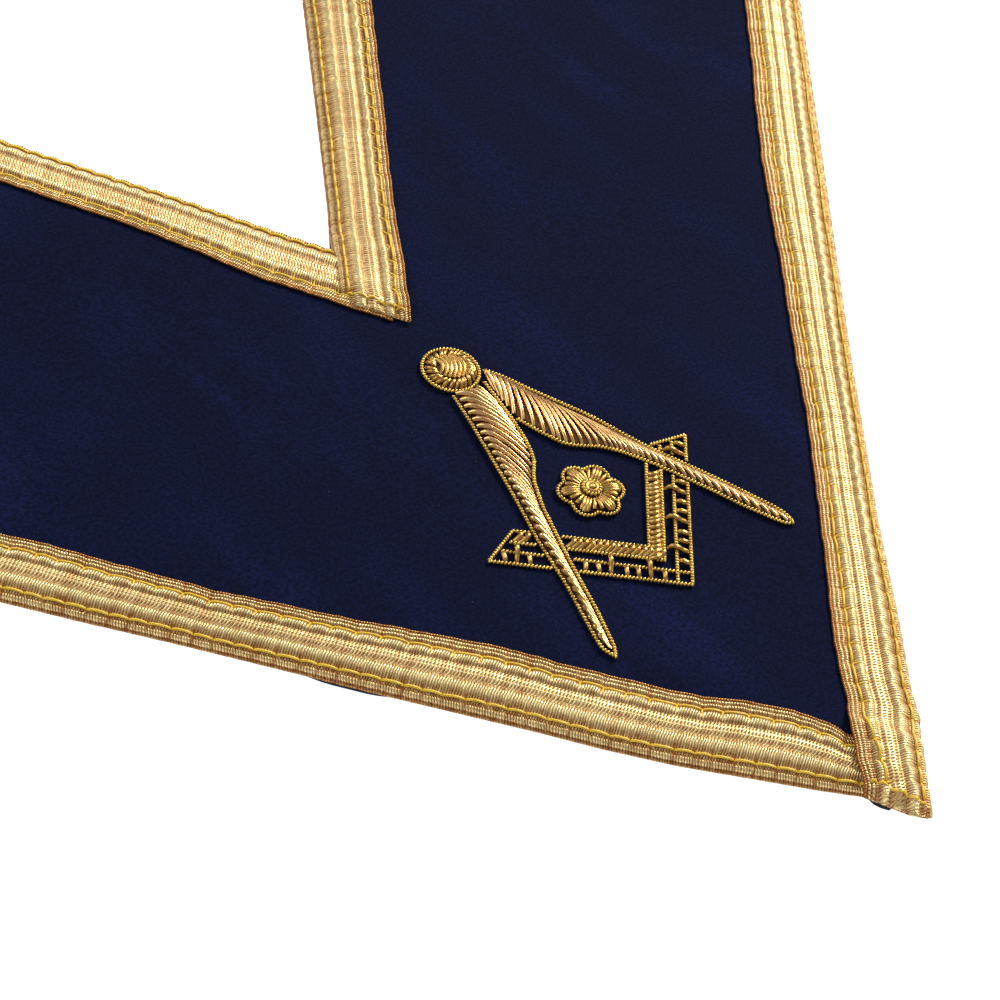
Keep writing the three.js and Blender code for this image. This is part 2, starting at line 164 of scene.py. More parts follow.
# Where the sewn edges stray from the plain outline. Places run from the corner, and the shift is
# outwards for an outline and towards the velvet for a lace's inner side.
RIGHT_OUTLINE = wanders(
    (6, -0.4), (16.5, 0.1), (22.5, 0.9), (29, 0.1), (45, 0), (70, -1), (115, -1), (170, 0),
    (240, 1.1), (330, 0),
)
RIGHT_WIDEN = wanders(
    (3.5, -1.3), (9, -0.2), (16.6, 0.5), (23.5, 0), (31, 0.7), (50, 0.4), (85, -0.3), (140, 0.7),
    (170, 1.6), (205, 0.6), (240, -0.3), (330, 0),
)
LEFT_OUTLINE = wanders(
    (12, -2.3), (20.5, -1.5), (33, -0.75), (46, 0.1), (59, 0.2), (71, -0.2), (84, -0.3), (97, -0.4),
    (110, -0.7), (135, -1.1), (150, -1.1), (165, -1.3), (260, 0),
)
LEFT_WIDEN = wanders(
    (16.6, -1), (19.5, 0.4), (22.5, 1.2), (27, 1.6), (34, 1.4), (43, 0.1), (50, -0.3), (80, 0.5),
    (100, -0.5), (130, -1.7), (160, -0.2), (260, 0),
)
OPENING_RIGHT_OUTLINE = wanders((0, 0), (12, -0.5), (40, -0.5), (85, -0.4), (150, 0))
OPENING_RIGHT_WIDEN = wanders((10, -0.2), (60, 1), (85, 1.4), (150, 0))
OPENING_LEFT_OUTLINE = wanders((0, -0.9), (20, -0.4), (35, 0.2), (50, 0.2), (80, 0.8))
OPENING_LEFT_WIDEN = wanders((-5, 4.2), (10, 3.7), (25, 1.9), (40, 0.6), (70, -0.4), (150, 0))

LACES = (
    Lace("outer_lace_left", OUTER, -1, False, 3.4 * MM, LEFT_OUTLINE, LEFT_WIDEN),
    Lace("outer_lace_right", OUTER, 1, True, 0.4 * MM, RIGHT_OUTLINE, RIGHT_WIDEN),
    Lace("inner_lace_left", OPENING, -1, False, 11.0 * MM, OPENING_LEFT_OUTLINE, OPENING_LEFT_WIDEN),
    Lace("inner_lace_right", OPENING, 1, True, 16.5 * MM, OPENING_RIGHT_OUTLINE, OPENING_RIGHT_WIDEN),
)

# Where the lining looks out from under the lace: centre and half length along the edge, reach out
Peek = namedtuple("Peek", "edge side along half reach")
LINING_PEEKS = (
    Peek(OUTER, -1, 104 * MM, 8 * MM, 1.0 * MM),
    Peek(OUTER, -1, 7 * MM, 3 * MM, 2.7 * MM),
    Peek(OPENING, 1, 4 * MM, 6 * MM, 1.2 * MM),
    Peek(OUTER, 1, 300 * MM, 20 * MM, 0.8 * MM),
)
LINING_INSET = 1.1 * MM
LINING_TOP_INSET = 2.4 * MM
LINING_EDGE_HEIGHT = 0.55 * MM
COTTON_PITCH = 0.45 * MM
LINING_TIP_PULL = 3.4 * MM
LINING_TIP_WIDTH = 5.5 * MM
LINING_TIP_REACH = 20 * MM

# The emblem is measured from the outer corner of the square
EMBLEM_CORNER = Vector((-0.8 * MM, TIP_Y + 60.2 * MM))
EMBLEM_TURN = radians(3.4)
HINGE = Vector((1.5 * MM, 65.2 * MM))
LEG_LENGTH = 71 * MM
LEG_PAD = 1.15 * MM
LEG_TIP_PAD = 0.75 * MM
HEAD_RADIUS = 6.2 * MM
HEAD_RING = 5.75 * MM
HEAD_CENTRE = HINGE + Vector((-0.55 * MM, 0.5 * MM))
HEAD_PAD = 1.1 * MM
SQUARE_HALF_ANGLE = radians(46)
SQUARE_ARM = 39 * MM
SQUARE_WIDTH = 8.8 * MM
SQUARE_SLANT = radians(30)
SCALE_INSET = 3.2 * MM
BAND_INSET = 7.0 * MM
BAND_WIDTH = 2.1 * MM
BAND_PAD = 0.5 * MM
BAND_LINE_INSET = 5.55 * MM
CURL_TURN = radians(-36)
ROSETTE_RADIUS = 6.5 * MM
ROSETTE_PAD = 1.0 * MM
ROSETTE_PETALS = 6
ROSETTE_NOTCH = 0.2

# The rungs of the square's scale in mm along an arm: the long ones reach the band
RUNGS = (5.6, 8.4, 10.6, 12.8, 15.8, 18.1, 20.5, 23.2, 25.6, 30.9, 33.3, 35.6)
LONG_RUNGS = (8.4, 15.8, 23.2, 33.3)

Leg = namedtuple("Leg", "name side angle rows reach far_reach sweep pitch far_pitch")

# Rows of a leg: along as a share of its length, its outer and inner side as shares of the head's radius
RIGHT_LEG_ROWS = (
    (0.07, 0.62, 0.30), (0.11, 0.68, -0.10), (0.157, 0.68, -0.50), (0.205, 0.66, -0.86),
    (0.28, 0.67, -0.98), (0.355, 0.68, -1.03), (0.385, 0.67, -0.92), (0.413, 0.64, -0.75),
    (0.45, 0.59, -0.50), (0.50, 0.52, -0.34), (0.555, 0.47, -0.27), (0.61, 0.46, -0.22),
    (0.78, 0.43, -0.25), (0.85, 0.39, -0.30), (0.95, 0.32, -0.28), (0.985, 0.18, -0.24), (1.0, 0.04, -0.1),
)
LEFT_LEG_ROWS = (
    (0.05, 0.56, -0.80), (0.13, 0.47, -0.95), (0.20, 0.40, -1.07), (0.27, 0.36, -1.14),
    (0.316, 0.33, -1.14), (0.356, 0.31, -1.07), (0.396, 0.28, -0.86), (0.43, 0.26, -0.72),
    (0.52, 0.23, -0.58), (0.62, 0.22, -0.56), (0.70, 0.13, -0.54), (0.77, 0.06, -0.55),
    (0.87, 0.04, -0.58), (0.95, 0.02, -0.55), (0.985, -0.02, -0.53), (1.02, -0.3, -0.42),
)
RIGHT_LEG = Leg(
    "compass_leg_right", 1, radians(22.0), RIGHT_LEG_ROWS, 9.6 * MM, 5.2 * MM, 1.2, 1.3 * MM, 1.95 * MM
)
LEFT_LEG = Leg(
    "compass_leg_left", -1, radians(22.7), LEFT_LEG_ROWS, 9.0 * MM, 7.0 * MM, 0.62, 1.75 * MM, 2.2 * MM
)
LEGS = (RIGHT_LEG, LEFT_LEG)


def smooth(share):
    """Eases a share from 0 to 1."""
    t = np.clip(share, 0, 1)
    return t * t * (3 - 2 * t)


def ripple(along, wave, phase=0.0):
    """A soft irregular wave between about -1 and 1."""
    turn = 2 * pi * np.asarray(along) / wave
    return 0.55 * np.sin(turn + phase) + 0.3 * np.sin(1.73 * turn + 2.1 * phase) + 0.15 * np.sin(3.1 * turn)


def fading(away, width):
    """A bell curve of 1 at no distance, which fades over a width."""
    return np.exp(-((away / width) ** 2))


def wandering(rows, along):
    """The shift at each place along an edge, from its Wander rows."""
    return np.interp(along, *np.transpose(rows))


def along_edge(edge, side, along, offset):
    """Points beside an edge: along it from its corner, and offset into the cloth."""
    inset = offset * edge.inward
    radius = edge.radius + inset
    turned = np.maximum(along - edge.straight, 0) / edge.middle_radius - edge.angle
    x_line = along * sin(edge.angle) + inset * cos(edge.angle)
    y_line = edge.corner_y + along * cos(edge.angle) - inset * sin(edge.angle)
    on_arc = along > edge.straight
    x = np.where(on_arc, radius * np.cos(turned), x_line)
    y = np.where(on_arc, edge.centre_y + radius * np.sin(turned), y_line)
    return side * x, y


def edge_length(edge):
    """From the corner to the back of the neck, along the middle of the lace."""
    return edge.straight + edge.middle_radius * (pi / 2 + edge.angle)


def beside_edge(edge, x, y):
    """How far a place is along the line of an edge's straight part, and in from it."""
    across, up = np.abs(x), y - edge.corner_y
    along = across * sin(edge.angle) + up * cos(edge.angle)
    return along, (across * cos(edge.angle) - up * sin(edge.angle)) * edge.inward


def depth_inside(x, y):
    """Distance in from the nearer edge of the collar."""
    across = np.abs(x)

    def distance(edge):
        from_arc = (np.hypot(across, y - edge.centre_y) - edge.radius) * edge.inward
        on_arc = np.arctan2(y - edge.centre_y, across) > -edge.angle
        return np.where(on_arc, from_arc, beside_edge(edge, x, y)[1])

    return np.minimum(distance(OUTER), distance(OPENING))


def velvet_height(x, y):
    """The padded velvet swells from each edge to a flat middle that isn't quite even."""
    share = np.clip(depth_inside(x, y) / CROWN_WIDTH, 0, 1)
    crown = VELVET_EDGE_TOP + VELVET_CROWN * (1 - (1 - share) ** 2)
    uneven = ripple(x + 0.6 * y, 0.083, 0.7) + ripple(y - 0.4 * x, 0.061, 2.0)
    return crown + VELVET_UNEVEN * uneven * share


def deselect_all():
    bpy.ops.object.select_all(action="DESELECT")


def activate(*pieces):
    """Selects these objects alone, the first of them active."""
    deselect_all()
    for piece in pieces:
        piece.select_set(True)
    bpy.context.view_layer.objects.active = pieces[0]


def joined(pieces, name):
    """Joins the pieces into one object of that name."""
    activate(*pieces)
    if len(pieces) > 1:
        bpy.ops.object.join()
    pieces[0].name = name
    pieces[0].data.name = name
    return pieces[0]


def dressed(piece, material, *replaced, slot="bullion_wire"):
    """Gives a finished piece its material and its place in the frame."""
    piece.data.materials.clear()
    piece.data.materials.append(material)
    if replaced:
        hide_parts(*replaced)
    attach(piece, "root")
    return piece


def surface_object(name, points, faces, uv_maps=None):
    """A smooth mesh object from numpy points, with UV maps that give each point a pair."""
    mesh = bpy.data.meshes.new(name)
    mesh.from_pydata([tuple(point) for point in points], [], [tuple(face) for face in faces])
    corners = np.empty(len(mesh.loops), dtype=np.int32)
    mesh.loops.foreach_get("vertex_index", corners)
    for map_name, uv in (uv_maps or {}).items():
        layer = mesh.uv_layers.new(name=map_name)
        layer.data.foreach_set("uv", np.asarray(uv, dtype=np.float32)[corners].ravel())
    mesh.update()
    piece = bpy.data.objects.new(name, mesh)
    bpy.context.scene.collection.objects.link(piece)
    activate(piece)
    bpy.ops.object.shade_smooth()
    return piece


def grid_faces(rows, columns, around_rows):
    """Quads of a grid of points whose rows are closed, and its columns too if asked."""
    i, j = np.meshgrid(np.arange(rows if around_rows else rows - 1), np.arange(columns), indexing="ij")
    near, far = i * columns, (i + 1) % rows * columns
    j_next = (j + 1) % columns
    return np.stack([near + j, far + j, far + j_next, near + j_next]).reshape(4, -1).T


def edit_all(*edits):
    """Runs edits on all of the active piece's mesh."""
    bpy.ops.object.mode_set(mode="EDIT")
    bpy.ops.mesh.select_all(action="SELECT")
    for edit, settings in edits:
        edit(**settings)
    bpy.ops.object.mode_set(mode="OBJECT")


def closed_piece(name, points, faces, uv_maps=None):
    """A closed mesh object with all its faces outwards."""
    piece = surface_object(name, points.reshape(-1, 3), faces, uv_maps)
    edit_all((bpy.ops.mesh.normals_make_consistent, {"inside": False}))
    return piece


def capped_strip(name, rings, uv_maps=None):
    """A closed piece from rings of points, with a face over each end."""
    count, columns = rings.shape[:2]
    ends = [range(columns), range((count - 1) * columns, count * columns)[::-1]]
    return closed_piece(name, rings, [*grid_faces(count, columns, False), *ends], uv_maps)


# Node trees


class Nodes:
    """Adds nodes to one tree; an input takes a number, a colour or another node's socket."""

    def __init__(self, tree):
        self.tree = tree

    def feed(self, socket, value):
        if isinstance(value, bpy.types.NodeSocket):
            self.tree.links.new(value, socket)
        elif socket.type == "RGBA":
            socket.default_value = (*value, 1)
        else:
            socket.default_value = value

    def add(self, kind, inputs=None, **settings):
        node = self.tree.nodes.new("ShaderNode" + kind)
        for key, value in settings.items():
            setattr(node, key, value)
        for key, value in (inputs or {}).items():
            self.feed(node.inputs[key], value)
        return node

    def math(self, operation, *values, clamp=False):
        return self.add("Math", dict(enumerate(values)), operation=operation, use_clamp=clamp).outputs[0]

    def times(self, first, second, clamp=False):
        return self.math("MULTIPLY", first, second, clamp=clamp)

    def times_plus(self, first, second, added, clamp=False):
        return self.math("MULTIPLY_ADD", first, second, added, clamp=clamp)

    def minus(self, first, second):
        return self.math("SUBTRACT", first, second)

    def off_middle(self, phase):
        """From -1 to 1 over each whole step of a phase."""
        return self.times_plus(self.math("FRACT", phase), 2.0, -1.0)

    def mix(self, factor, first, second):
        return self.add("Mix", {0: factor, 6: first, 7: second}, data_type="RGBA").outputs[2]

    def mix_value(self, factor, first, second):
        return self.add("Mix", {0: factor, 2: first, 3: second}, data_type="FLOAT").outputs[0]

    def spread(self, value, low, high, new_low=0.0, new_high=1.0):
        inputs = {"Value": value, "From Min": low, "From Max": high, "To Min": new_low, "To Max": new_high}
        return self.add("MapRange", inputs, clamp=True).outputs["Result"]

    def noise(self, vector, scale, detail=2.0):
        return self.add("TexNoise", {"Vector": vector, "Scale": scale, "Detail": detail}).outputs["Fac"]

    def bump(self, height, strength, distance):
        inputs = {"Height": height, "Strength": strength, "Distance": distance}
        return self.add("Bump", inputs).outputs["Normal"]

    def ramp(self, fac, interpolation, stops):
        """The red, green and blue of a colour ramp, from its stops' places and colours."""
        node = self.add("ValToRGB", {"Fac": fac})
        node.color_ramp.interpolation = interpolation
        elements = node.color_ramp.elements
        while len(elements) < len(stops):
            elements.new(0.5)
        for element, (place, colour) in zip(elements, stops):
            element.position = place
            element.color = (*colour, 1)
        parts = self.add("SeparateColor", {"Color": node.outputs["Color"]})
        return parts.outputs["Red"], parts.outputs["Green"], parts.outputs["Blue"]

    def place(self):
        return self.add("TexCoord").outputs["Object"]

    def parts(self, vector):
        split = self.add("SeparateXYZ", {"Vector": vector})
        return split.outputs["X"], split.outputs["Y"]

    def uv(self, map_name="UVMap"):
        """The two parts of a UV map."""
        return self.parts(self.add("UVMap", uv_map=map_name).outputs["UV"])

    def shared(self, name, build, defaults, inputs):
        """The outputs of a node group, which is built once and then found by its name."""
        if name not in bpy.data.node_groups:
            tree = bpy.data.node_groups.new(name, "ShaderNodeTree")
            for socket, value in defaults.items():
                kind = "NodeSocketVector" if value is None else "NodeSocketFloat"
                made = tree.interface.new_socket(socket, in_out="INPUT", socket_type=kind)
                if value is not None:
                    made.default_value = value
            inner = Nodes(tree)
            results = build(inner, tree.nodes.new("NodeGroupInput").outputs)
            for socket in results:
                tree.interface.new_socket(socket, in_out="OUTPUT", socket_type="NodeSocketFloat")
            ends = tree.nodes.new("NodeGroupOutput").inputs
            for socket, value in results.items():
                inner.feed(ends[socket], value)
        return self.add("Group", inputs, node_tree=bpy.data.node_groups[name]).outputs

    def ridges(self, along, across, pitch, slant):
        """Round ridges laid side by side at a slant, as wound wire and woven strands are."""

        def build(inner, given):
            turned = inner.times_plus(given["Across"], given["Slant"], given["Along"])
            phase = inner.math("DIVIDE", turned, given["Pitch"])
            off = inner.off_middle(phase)
            strand = inner.add("TexWhiteNoise", {"W": inner.math("FLOOR", phase)}, noise_dimensions="1D")
            return {"Height": inner.minus(1.0, inner.times(off, off)), "Tone": strand.outputs["Value"]}

        defaults = {"Along": 0.0, "Across": 0.0, "Pitch": 0.4 * MM, "Slant": 0.5}
        inputs = {"Along": along, "Across": across, "Pitch": pitch, "Slant": slant}
        return self.shared("Slanted ridges", build, defaults, inputs)

    def mottle(self, patch_scale, fine_scale):
        """Soft uneven patches with finer specks on them, for wear, brushing and tarnish, and to spread
        painted shade on the velvet, lining and padding.
        """

        def build(inner, given):
            patches = inner.noise(given["Place"], given["Patch scale"], 4.0)
            fine = inner.noise(given["Place"], given["Fine scale"], 3.0)
            return {"Patches": inner.spread(patches, 0.38, 0.68), "Fine": fine}

        defaults = {"Place": None, "Patch scale": 30.0, "Fine scale": 400.0}
        inputs = {"Place": self.place(), "Patch scale": patch_scale, "Fine scale": fine_scale}
        return self.shared("Mottled wear", build, defaults, inputs)


class Finish(Nodes):
    """The nodes of one material."""

    def __init__(self, name):
        self.material = bpy.data.materials.new(name)
        self.material.use_nodes = True
        super().__init__(self.material.node_tree)
        self.tree.nodes.clear()

    def made(self, inputs):
        """The material, with these inputs on its shader."""
        shader = self.add("BsdfPrincipled", inputs)
        self.add("OutputMaterial", {"Surface": shader.outputs["BSDF"]})
        return self.material


def darker(colour, share):
    return tuple(share * level for level in colour)


def velvet_material(cloth):
    """Short navy pile, brushed lighter in patches, with a blue sheen and a little lint."""
    nodes = Finish("navy_velvet")
    place = nodes.place()
    worn = nodes.mottle(26.0, 1500.0)
    streaks = nodes.add("Mapping", {"Vector": place, "Rotation": (0, 0, 0.5), "Scale": (1.0, 0.35, 1.0)})
    brushed = nodes.noise(streaks.outputs["Vector"], 75.0, 5.0)
    mask = nodes.times(worn["Patches"], nodes.spread(brushed, 0.42, 0.72), clamp=True)
    pile = nodes.mix(mask, cloth.pile_colour, cloth.brushed_colour)
    # Painted shade between the pile's tufts, spread by the fine noise
    pile = nodes.mix(nodes.spread(worn["Fine"], 0.36, 0.64, 0.1, 0.75), pile, cloth.pile_shadow_colour)
    specks = nodes.spread(nodes.noise(place, 1500.0, 0.0), 0.84, 0.9)
    return nodes.made({
        "Base Color": nodes.mix(nodes.times(specks, 0.5), pile, cloth.lint_colour),
        "Roughness": 0.9,
        "Specular IOR Level": 0.04,
        "Sheen Weight": 0.025,
        "Sheen Roughness": 0.4,
        "Sheen Tint": (0.25, 0.32, 0.75),
        "Normal": nodes.bump(worn["Fine"], 0.5, 0.25 * MM),
    })


def lining_material(cloth):
    """Plain woven navy cotton: fine warp and weft, with painted shade between the threads."""
    nodes = Finish("navy_cotton")
    across, along = nodes.parts(nodes.place())
    warp = nodes.ridges(across, along, COTTON_PITCH, 0.0)
    weft = nodes.ridges(along, across, COTTON_PITCH, 0.0)
    weave = nodes.times(warp["Height"], weft["Height"])
    worn = nodes.mottle(40.0, 500.0)
    # Painted shade where the threads dip, varied a little by fine noise
    shade = nodes.times(weave, nodes.spread(worn["Fine"], 0.3, 0.7, 0.7, 1.0))
    return nodes.made({
        "Base Color": nodes.mix(shade, darker(cloth.lining_colour, 0.45), cloth.lining_colour),
        "Roughness": 0.9,
        "Normal": nodes.bump(weave, 0.6, 0.1 * MM),
    })


def band_masks(nodes, across):
    """Which weave a place across the lace has: satin, basket and cord in red, green and blue."""
    colours = {"satin": (1, 0, 0), "basket": (0, 1, 0), "cord": (0, 0, 1), "rib": (0, 0, 1)}
    stops = [(band.start, colours.get(band.weave, (0, 0, 0))) for band in LACE_BANDS]
    return nodes.ramp(across, "CONSTANT", stops)


def painted_band_shading(nodes, across):
    """Painted light and shade across the lace: dark in the furrows between bands, lighter on their middles
    and dark at the edge by the velvet; and how orange, as at the selvedges.
    """
    # Painted shade at each band's furrow, painted light at its middle
    furrows = {"satin": 0.45, "basket": 0.5, "valley": 0.3, "cord": 0.15, "rib": 0.15}
    middles = {"satin": 1.0, "basket": 0.72, "valley": 0.4, "cord": 1.0, "rib": 0.6}
    stops = []
    for band in LACE_BANDS:
        orange = 1.0 if band.weave == "rib" else 0.0
        stops.append((band.start, (furrows[band.weave], orange, 0)))
        stops.append(((band.start + band.end) / 2, (middles[band.weave], orange, 0)))
    stops.append((1.0, (0.1, 1.0, 0)))
    return nodes.ramp(across, "EASE", stops)[:2]


def basket_pips(nodes, along, across, lace):
    """Rows of slanted pips, each row half a step on from the one beside it."""
    row = nodes.math("DIVIDE", across, lace.pip_row)
    parity = nodes.times(nodes.math("MODULO", nodes.math("FLOOR", row), 2.0), 0.5)
    slanted = nodes.times_plus(across, 0.4, along)
    phase = nodes.math("ADD", nodes.math("DIVIDE", slanted, lace.pip_pitch), parity)
    from_strand, from_middle = [nodes.math("POWER", nodes.off_middle(turn), 2.0) for turn in (phase, row)]
    return nodes.minus(1.0, nodes.times(from_strand, nodes.minus(1.0, from_middle)))


def pulled_grooves(nodes, share):
    """Fine grooves that the stitches pull across the satin at each needle hole."""
    grooves = []
    for phase, line, near, far in zip(nodes.uv("Needle holes"), SEWING_LINES, (0.2, 0.8), (0.37, 0.66)):
        centred = nodes.minus(nodes.math("FRACT", nodes.math("ADD", phase, 0.5)), 0.5)
        away = nodes.times(nodes.math("ABSOLUTE", centred), line.pitch)
        groove = nodes.spread(away, 0.05 * MM, 0.32 * MM, 1.0, 0.0)
        reach = nodes.spread(share, far, near)
        within = nodes.math("LESS_THAN", nodes.math("ABSOLUTE", nodes.minus(share, near)), 0.18)
        grooves.append(nodes.times(nodes.times(groove, reach), within))
    return nodes.math("MAXIMUM", *grooves)


def satin_sides(nodes, share):
    """How near a place is to the sides of a satin band, where its strands part."""
    sides = []
    for band in LACE_BANDS:
        if band.weave == "satin":
            away = nodes.math("ABSOLUTE", nodes.minus(share, (band.start + band.end) / 2))
            sides.append(nodes.math("DIVIDE", away, (band.end - band.start) / 2))
    return nodes.spread(nodes.math("MINIMUM", *sides), 0.3, 0.95)


def lace_material(lace):
    """Pale gold metallic strands over a copper ground, woven in satin, basket and cord bands, with painted
    shade in the gaps between strands, in the stitches' pulled grooves and in the furrows between bands.
    """
    nodes = Finish("gold_lace")
    length, share = nodes.uv()
    along = nodes.times_plus(nodes.noise(nodes.place(), 320.0, 2.0), 0.5 * MM, length)
    across = nodes.times(share, LACE_WIDTH)
    satin_mask, basket_mask, cord_mask = band_masks(nodes, share)
    # Painted shade in the band furrows and painted light on the band middles
    shade, orange = painted_band_shading(nodes, share)
    satin = nodes.ridges(along, across, lace.strand_pitch, lace.strand_slant)
    wound = nodes.ridges(along, across, 0.5 * MM, -0.35)
    groove = pulled_grooves(nodes, share)
    plain = nodes.times(satin["Height"], nodes.minus(1.0, groove))
    height = nodes.mix_value(basket_mask, plain, basket_pips(nodes, along, across, lace))
    height = nodes.mix_value(cord_mask, height, wound["Height"])
    parted = nodes.times_plus(satin_sides(nodes, share), 0.7, 0.3)
    # Painted shade in the gaps between strands, stronger at the satin bands' sides, and in the pulled
    # grooves
    gap = nodes.times(nodes.spread(height, 0.15, 0.85, 1.0, 0.0), nodes.mix_value(satin_mask, 1.0, parted))
    gap = nodes.math("MAXIMUM", gap, nodes.times(groove, 0.7))
    worn = nodes.mottle(70.0, 2400.0)
    # lit mixes painted light and shade (gaps, grooves, furrows) with random grain and per-strand tone
    lit = nodes.minus(1.0, nodes.times(gap, lace.gap_contrast))
    grain = nodes.times_plus(worn["Fine"], 1.1, nodes.times_plus(satin["Tone"], -0.35, -0.4))
    lit = nodes.math("ADD", nodes.times(lit, shade), grain, clamp=True)
    straw = nodes.mix(orange, lace.straw_colour, lace.rib_colour)
    # The gaps' colour: the copper ground, which also serves as painted shade, and the selvedges' shadow
    # colour at the edges
    copper = nodes.mix(orange, lace.copper_and_shade_colour, lace.rib_shadow_colour)
    aged = nodes.times(worn["Patches"], 0.15)
    return nodes.made({
        "Base Color": nodes.mix(aged, nodes.mix(lit, copper, straw), lace.copper_and_shade_colour),
        "Metallic": 0.8,
        "Roughness": nodes.spread(lit, 0.0, 1.0, 0.6, 0.34),
        "Normal": nodes.bump(height, 0.9, 0.2 * MM),
    })


def thread_material(lace):
    """Bright yellow twisted sewing thread, with painted shade in the grooves of its twist."""
    nodes = Finish("yellow_thread")
    around, along = nodes.uv()
    twist = nodes.ridges(along, around, 0.09, 0.12)["Height"]
    return nodes.made({
        # Painted shade: the thread is darker in the grooves between the twist's ridges
        "Base Color": nodes.mix(twist, darker(lace.thread_colour, 0.45), lace.thread_colour),
        "Roughness": 0.42,
        "Normal": nodes.bump(twist, 0.5, 0.04 * MM),
    })


def wire_material(name, colour, tarnish_and_shade_colour, coils, roughness, coil_depth):
    """Coiled bullion wire: the coils' ridges, with tarnish in patches."""
    nodes = Finish(name)
    around, along = nodes.uv()
    coil = nodes.ridges(along, around, 1 / coils, 1 / coils)
    worn = nodes.mottle(350.0, 2200.0)
    shade = nodes.times_plus(worn["Patches"], 0.45, nodes.times(worn["Fine"], 0.25), clamp=True)
    return nodes.made({
        "Base Color": nodes.mix(shade, colour, tarnish_and_shade_colour),
        "Metallic": 1.0,
        "Roughness": nodes.spread(worn["Fine"], 0.3, 0.7, roughness, roughness + 0.14),
        "Normal": nodes.bump(coil["Height"], coil_depth, 0.05 * MM),
    })


def core_material(emblem):
    """The waxed padding and couching thread that show between the bullion wires, coloured very dark as
    painted shade in the gaps.
    """
    nodes = Finish("padding_under_wire")
    worn = nodes.mottle(300.0, 1800.0)
    return nodes.made({
        "Base Color": nodes.mix(worn["Fine"], emblem.tarnish_and_shade_colour, darker(emblem.tarnish_and_shade_colour, 0.35)),
        "Metallic": 0.6,
        "Roughness": nodes.spread(worn["Patches"], 0.0, 1.0, 0.5, 0.7),
        "Normal": nodes.bump(worn["Fine"], 0.6, 0.15 * MM),
    })


# Cloth layers


def ring_of_cloth(name, rows, steps):
    """A closed cloth layer all round the collar, from rows of (edge, offset, height function)."""
    halves = []
    for side in (1, -1):
        lines = []
        for edge, offset, height in rows:
            start = -offset * edge.inward / tan(edge.angle)
            ends = np.linspace(0, 1, steps)
            along = np.concatenate([
                start + (edge.straight - start) * ends[:-1],
                edge.straight + (edge_length(edge) - edge.straight) * ends,
            ])
            strayed = wandering(outline_rows(edge, side), along) * smooth((along - start) / WANDER_FADE)
            x, y = along_edge(edge, side, along, offset - strayed)
            x[[0, -1]] = 0.0
            lines.append(np.stack([x, y, height(x, y)], axis=1))
        halves.append(np.stack(lines, axis=1))
    right, left = halves
    ring = np.concatenate([right, left[::-1][1:-1]])
    return closed_piece(name, ring, grid_faces(len(ring), len(rows), True))


def edge_to_edge(half):
    """Rows from the outer edge to the opening, from the rows of one half of the way."""
    return [(OUTER, *row) for row in half] + [(OPENING, *row) for row in half[::-1]]


def flat_at(level):
    return lambda x, y: np.full_like(x, level)


def outline_rows(edge, side):
    """The Wander rows of that edge's outline on that side."""
    return next(lace.outline for lace in LACES if lace.edge is edge and lace.side == side)


def peeking_out(edge, side, along):
    """How far the lining reaches out from its usual inset."""
    reach = np.zeros_like(along)
    for peek in LINING_PEEKS:
        if peek.edge is edge and peek.side == side:
            reach = np.maximum(reach, peek.reach * smooth(1.4 - np.abs(along - peek.along) / peek.half))
    return reach


def make_lining(cloth):
    """The cotton backing, which looks out from under the lace here and there."""
    half = [(LINING_INSET, flat_at(0.0)), (LINING_INSET, flat_at(LINING_EDGE_HEIGHT))]
    half.append((LINING_TOP_INSET, flat_at(LINING_TOP)))
    piece = ring_of_cloth("lining_cloth", edge_to_edge(half), cloth.outline_steps)
    push_out_lining(piece)
    dressed(piece, lining_material(cloth), "lining", slot="lining_cloth")


def push_out_lining(piece):
    """Moves the lining's rim outwards where it peeks out."""
    rim = [vertex.co for vertex in piece.data.vertices if vertex.co.z < 1.4 * LINING_EDGE_HEIGHT]
    for place in rim:
        x, y = place.x, place.y
        side = 1 if x >= 0 else -1
        if y < TIP_Y + LINING_TIP_REACH:
            place.y += LINING_TIP_PULL * (1 - smooth(abs(x) / LINING_TIP_WIDTH))
        for edge in (OUTER, OPENING):
            along, offset = beside_edge(edge, x, y)
            if abs(offset - LINING_INSET) < 2.5 * MM:
                reach = float(peeking_out(edge, side, np.array([along]))[0]) * edge.inward
                place.x -= side * reach * cos(edge.angle)
                place.y += reach * sin(edge.angle)


def make_velvet(cloth):
    """The padded velvet face, thin where it is sewn at the edges."""

    def top(x, y):
        pressed = 1 - smooth((depth_inside(x, y) - PRESSED_INSET) / PRESSED_FADE)
        return velvet_height(x, y) - VELVET_PRESSED * pressed

    depths = CROWN_WIDTH * np.linspace(0, 1, cloth.rows_across) ** 1.4 + VELVET_INSET
    half = [(VELVET_INSET, flat_at(LINING_TOP - 0.1 * MM))]
    half += [(depth, top) for depth in (*depths, *VELVET_MIDDLE)]
    piece = ring_of_cloth("velvet_cloth", edge_to_edge(half), cloth.outline_steps)
    dressed(piece, velvet_material(cloth), "velvet_face", slot="velvet")


# Lace


def wrap_over_edge(width):
    """Run in from the edge, drop and slope of the lace, for places across its width."""
    fine = np.linspace(0, WRAP_LENGTH, 60)
    slope = WRAP_ANGLE * smooth(1.15 * (1 - fine / WRAP_LENGTH))
    step = fine[1]
    run = np.concatenate([[0], np.cumsum(np.cos(slope[:-1]) * step)])
    drop = np.concatenate([[0], np.cumsum(np.sin(slope[:-1]) * step)])
    run_at = np.interp(width, fine, run - run[-1]) + WRAP_OFFSET + np.maximum(width - WRAP_LENGTH, 0)
    return run_at, np.interp(width, fine, drop[-1] - drop), np.interp(width, fine, slope, right=0.0)


def towards_other_arm(edge, side, x, y):
    """Distance in from the line of the other arm's edge, past the corner."""
    return side * x * cos(edge.angle) + (y - edge.corner_y) * sin(edge.angle)


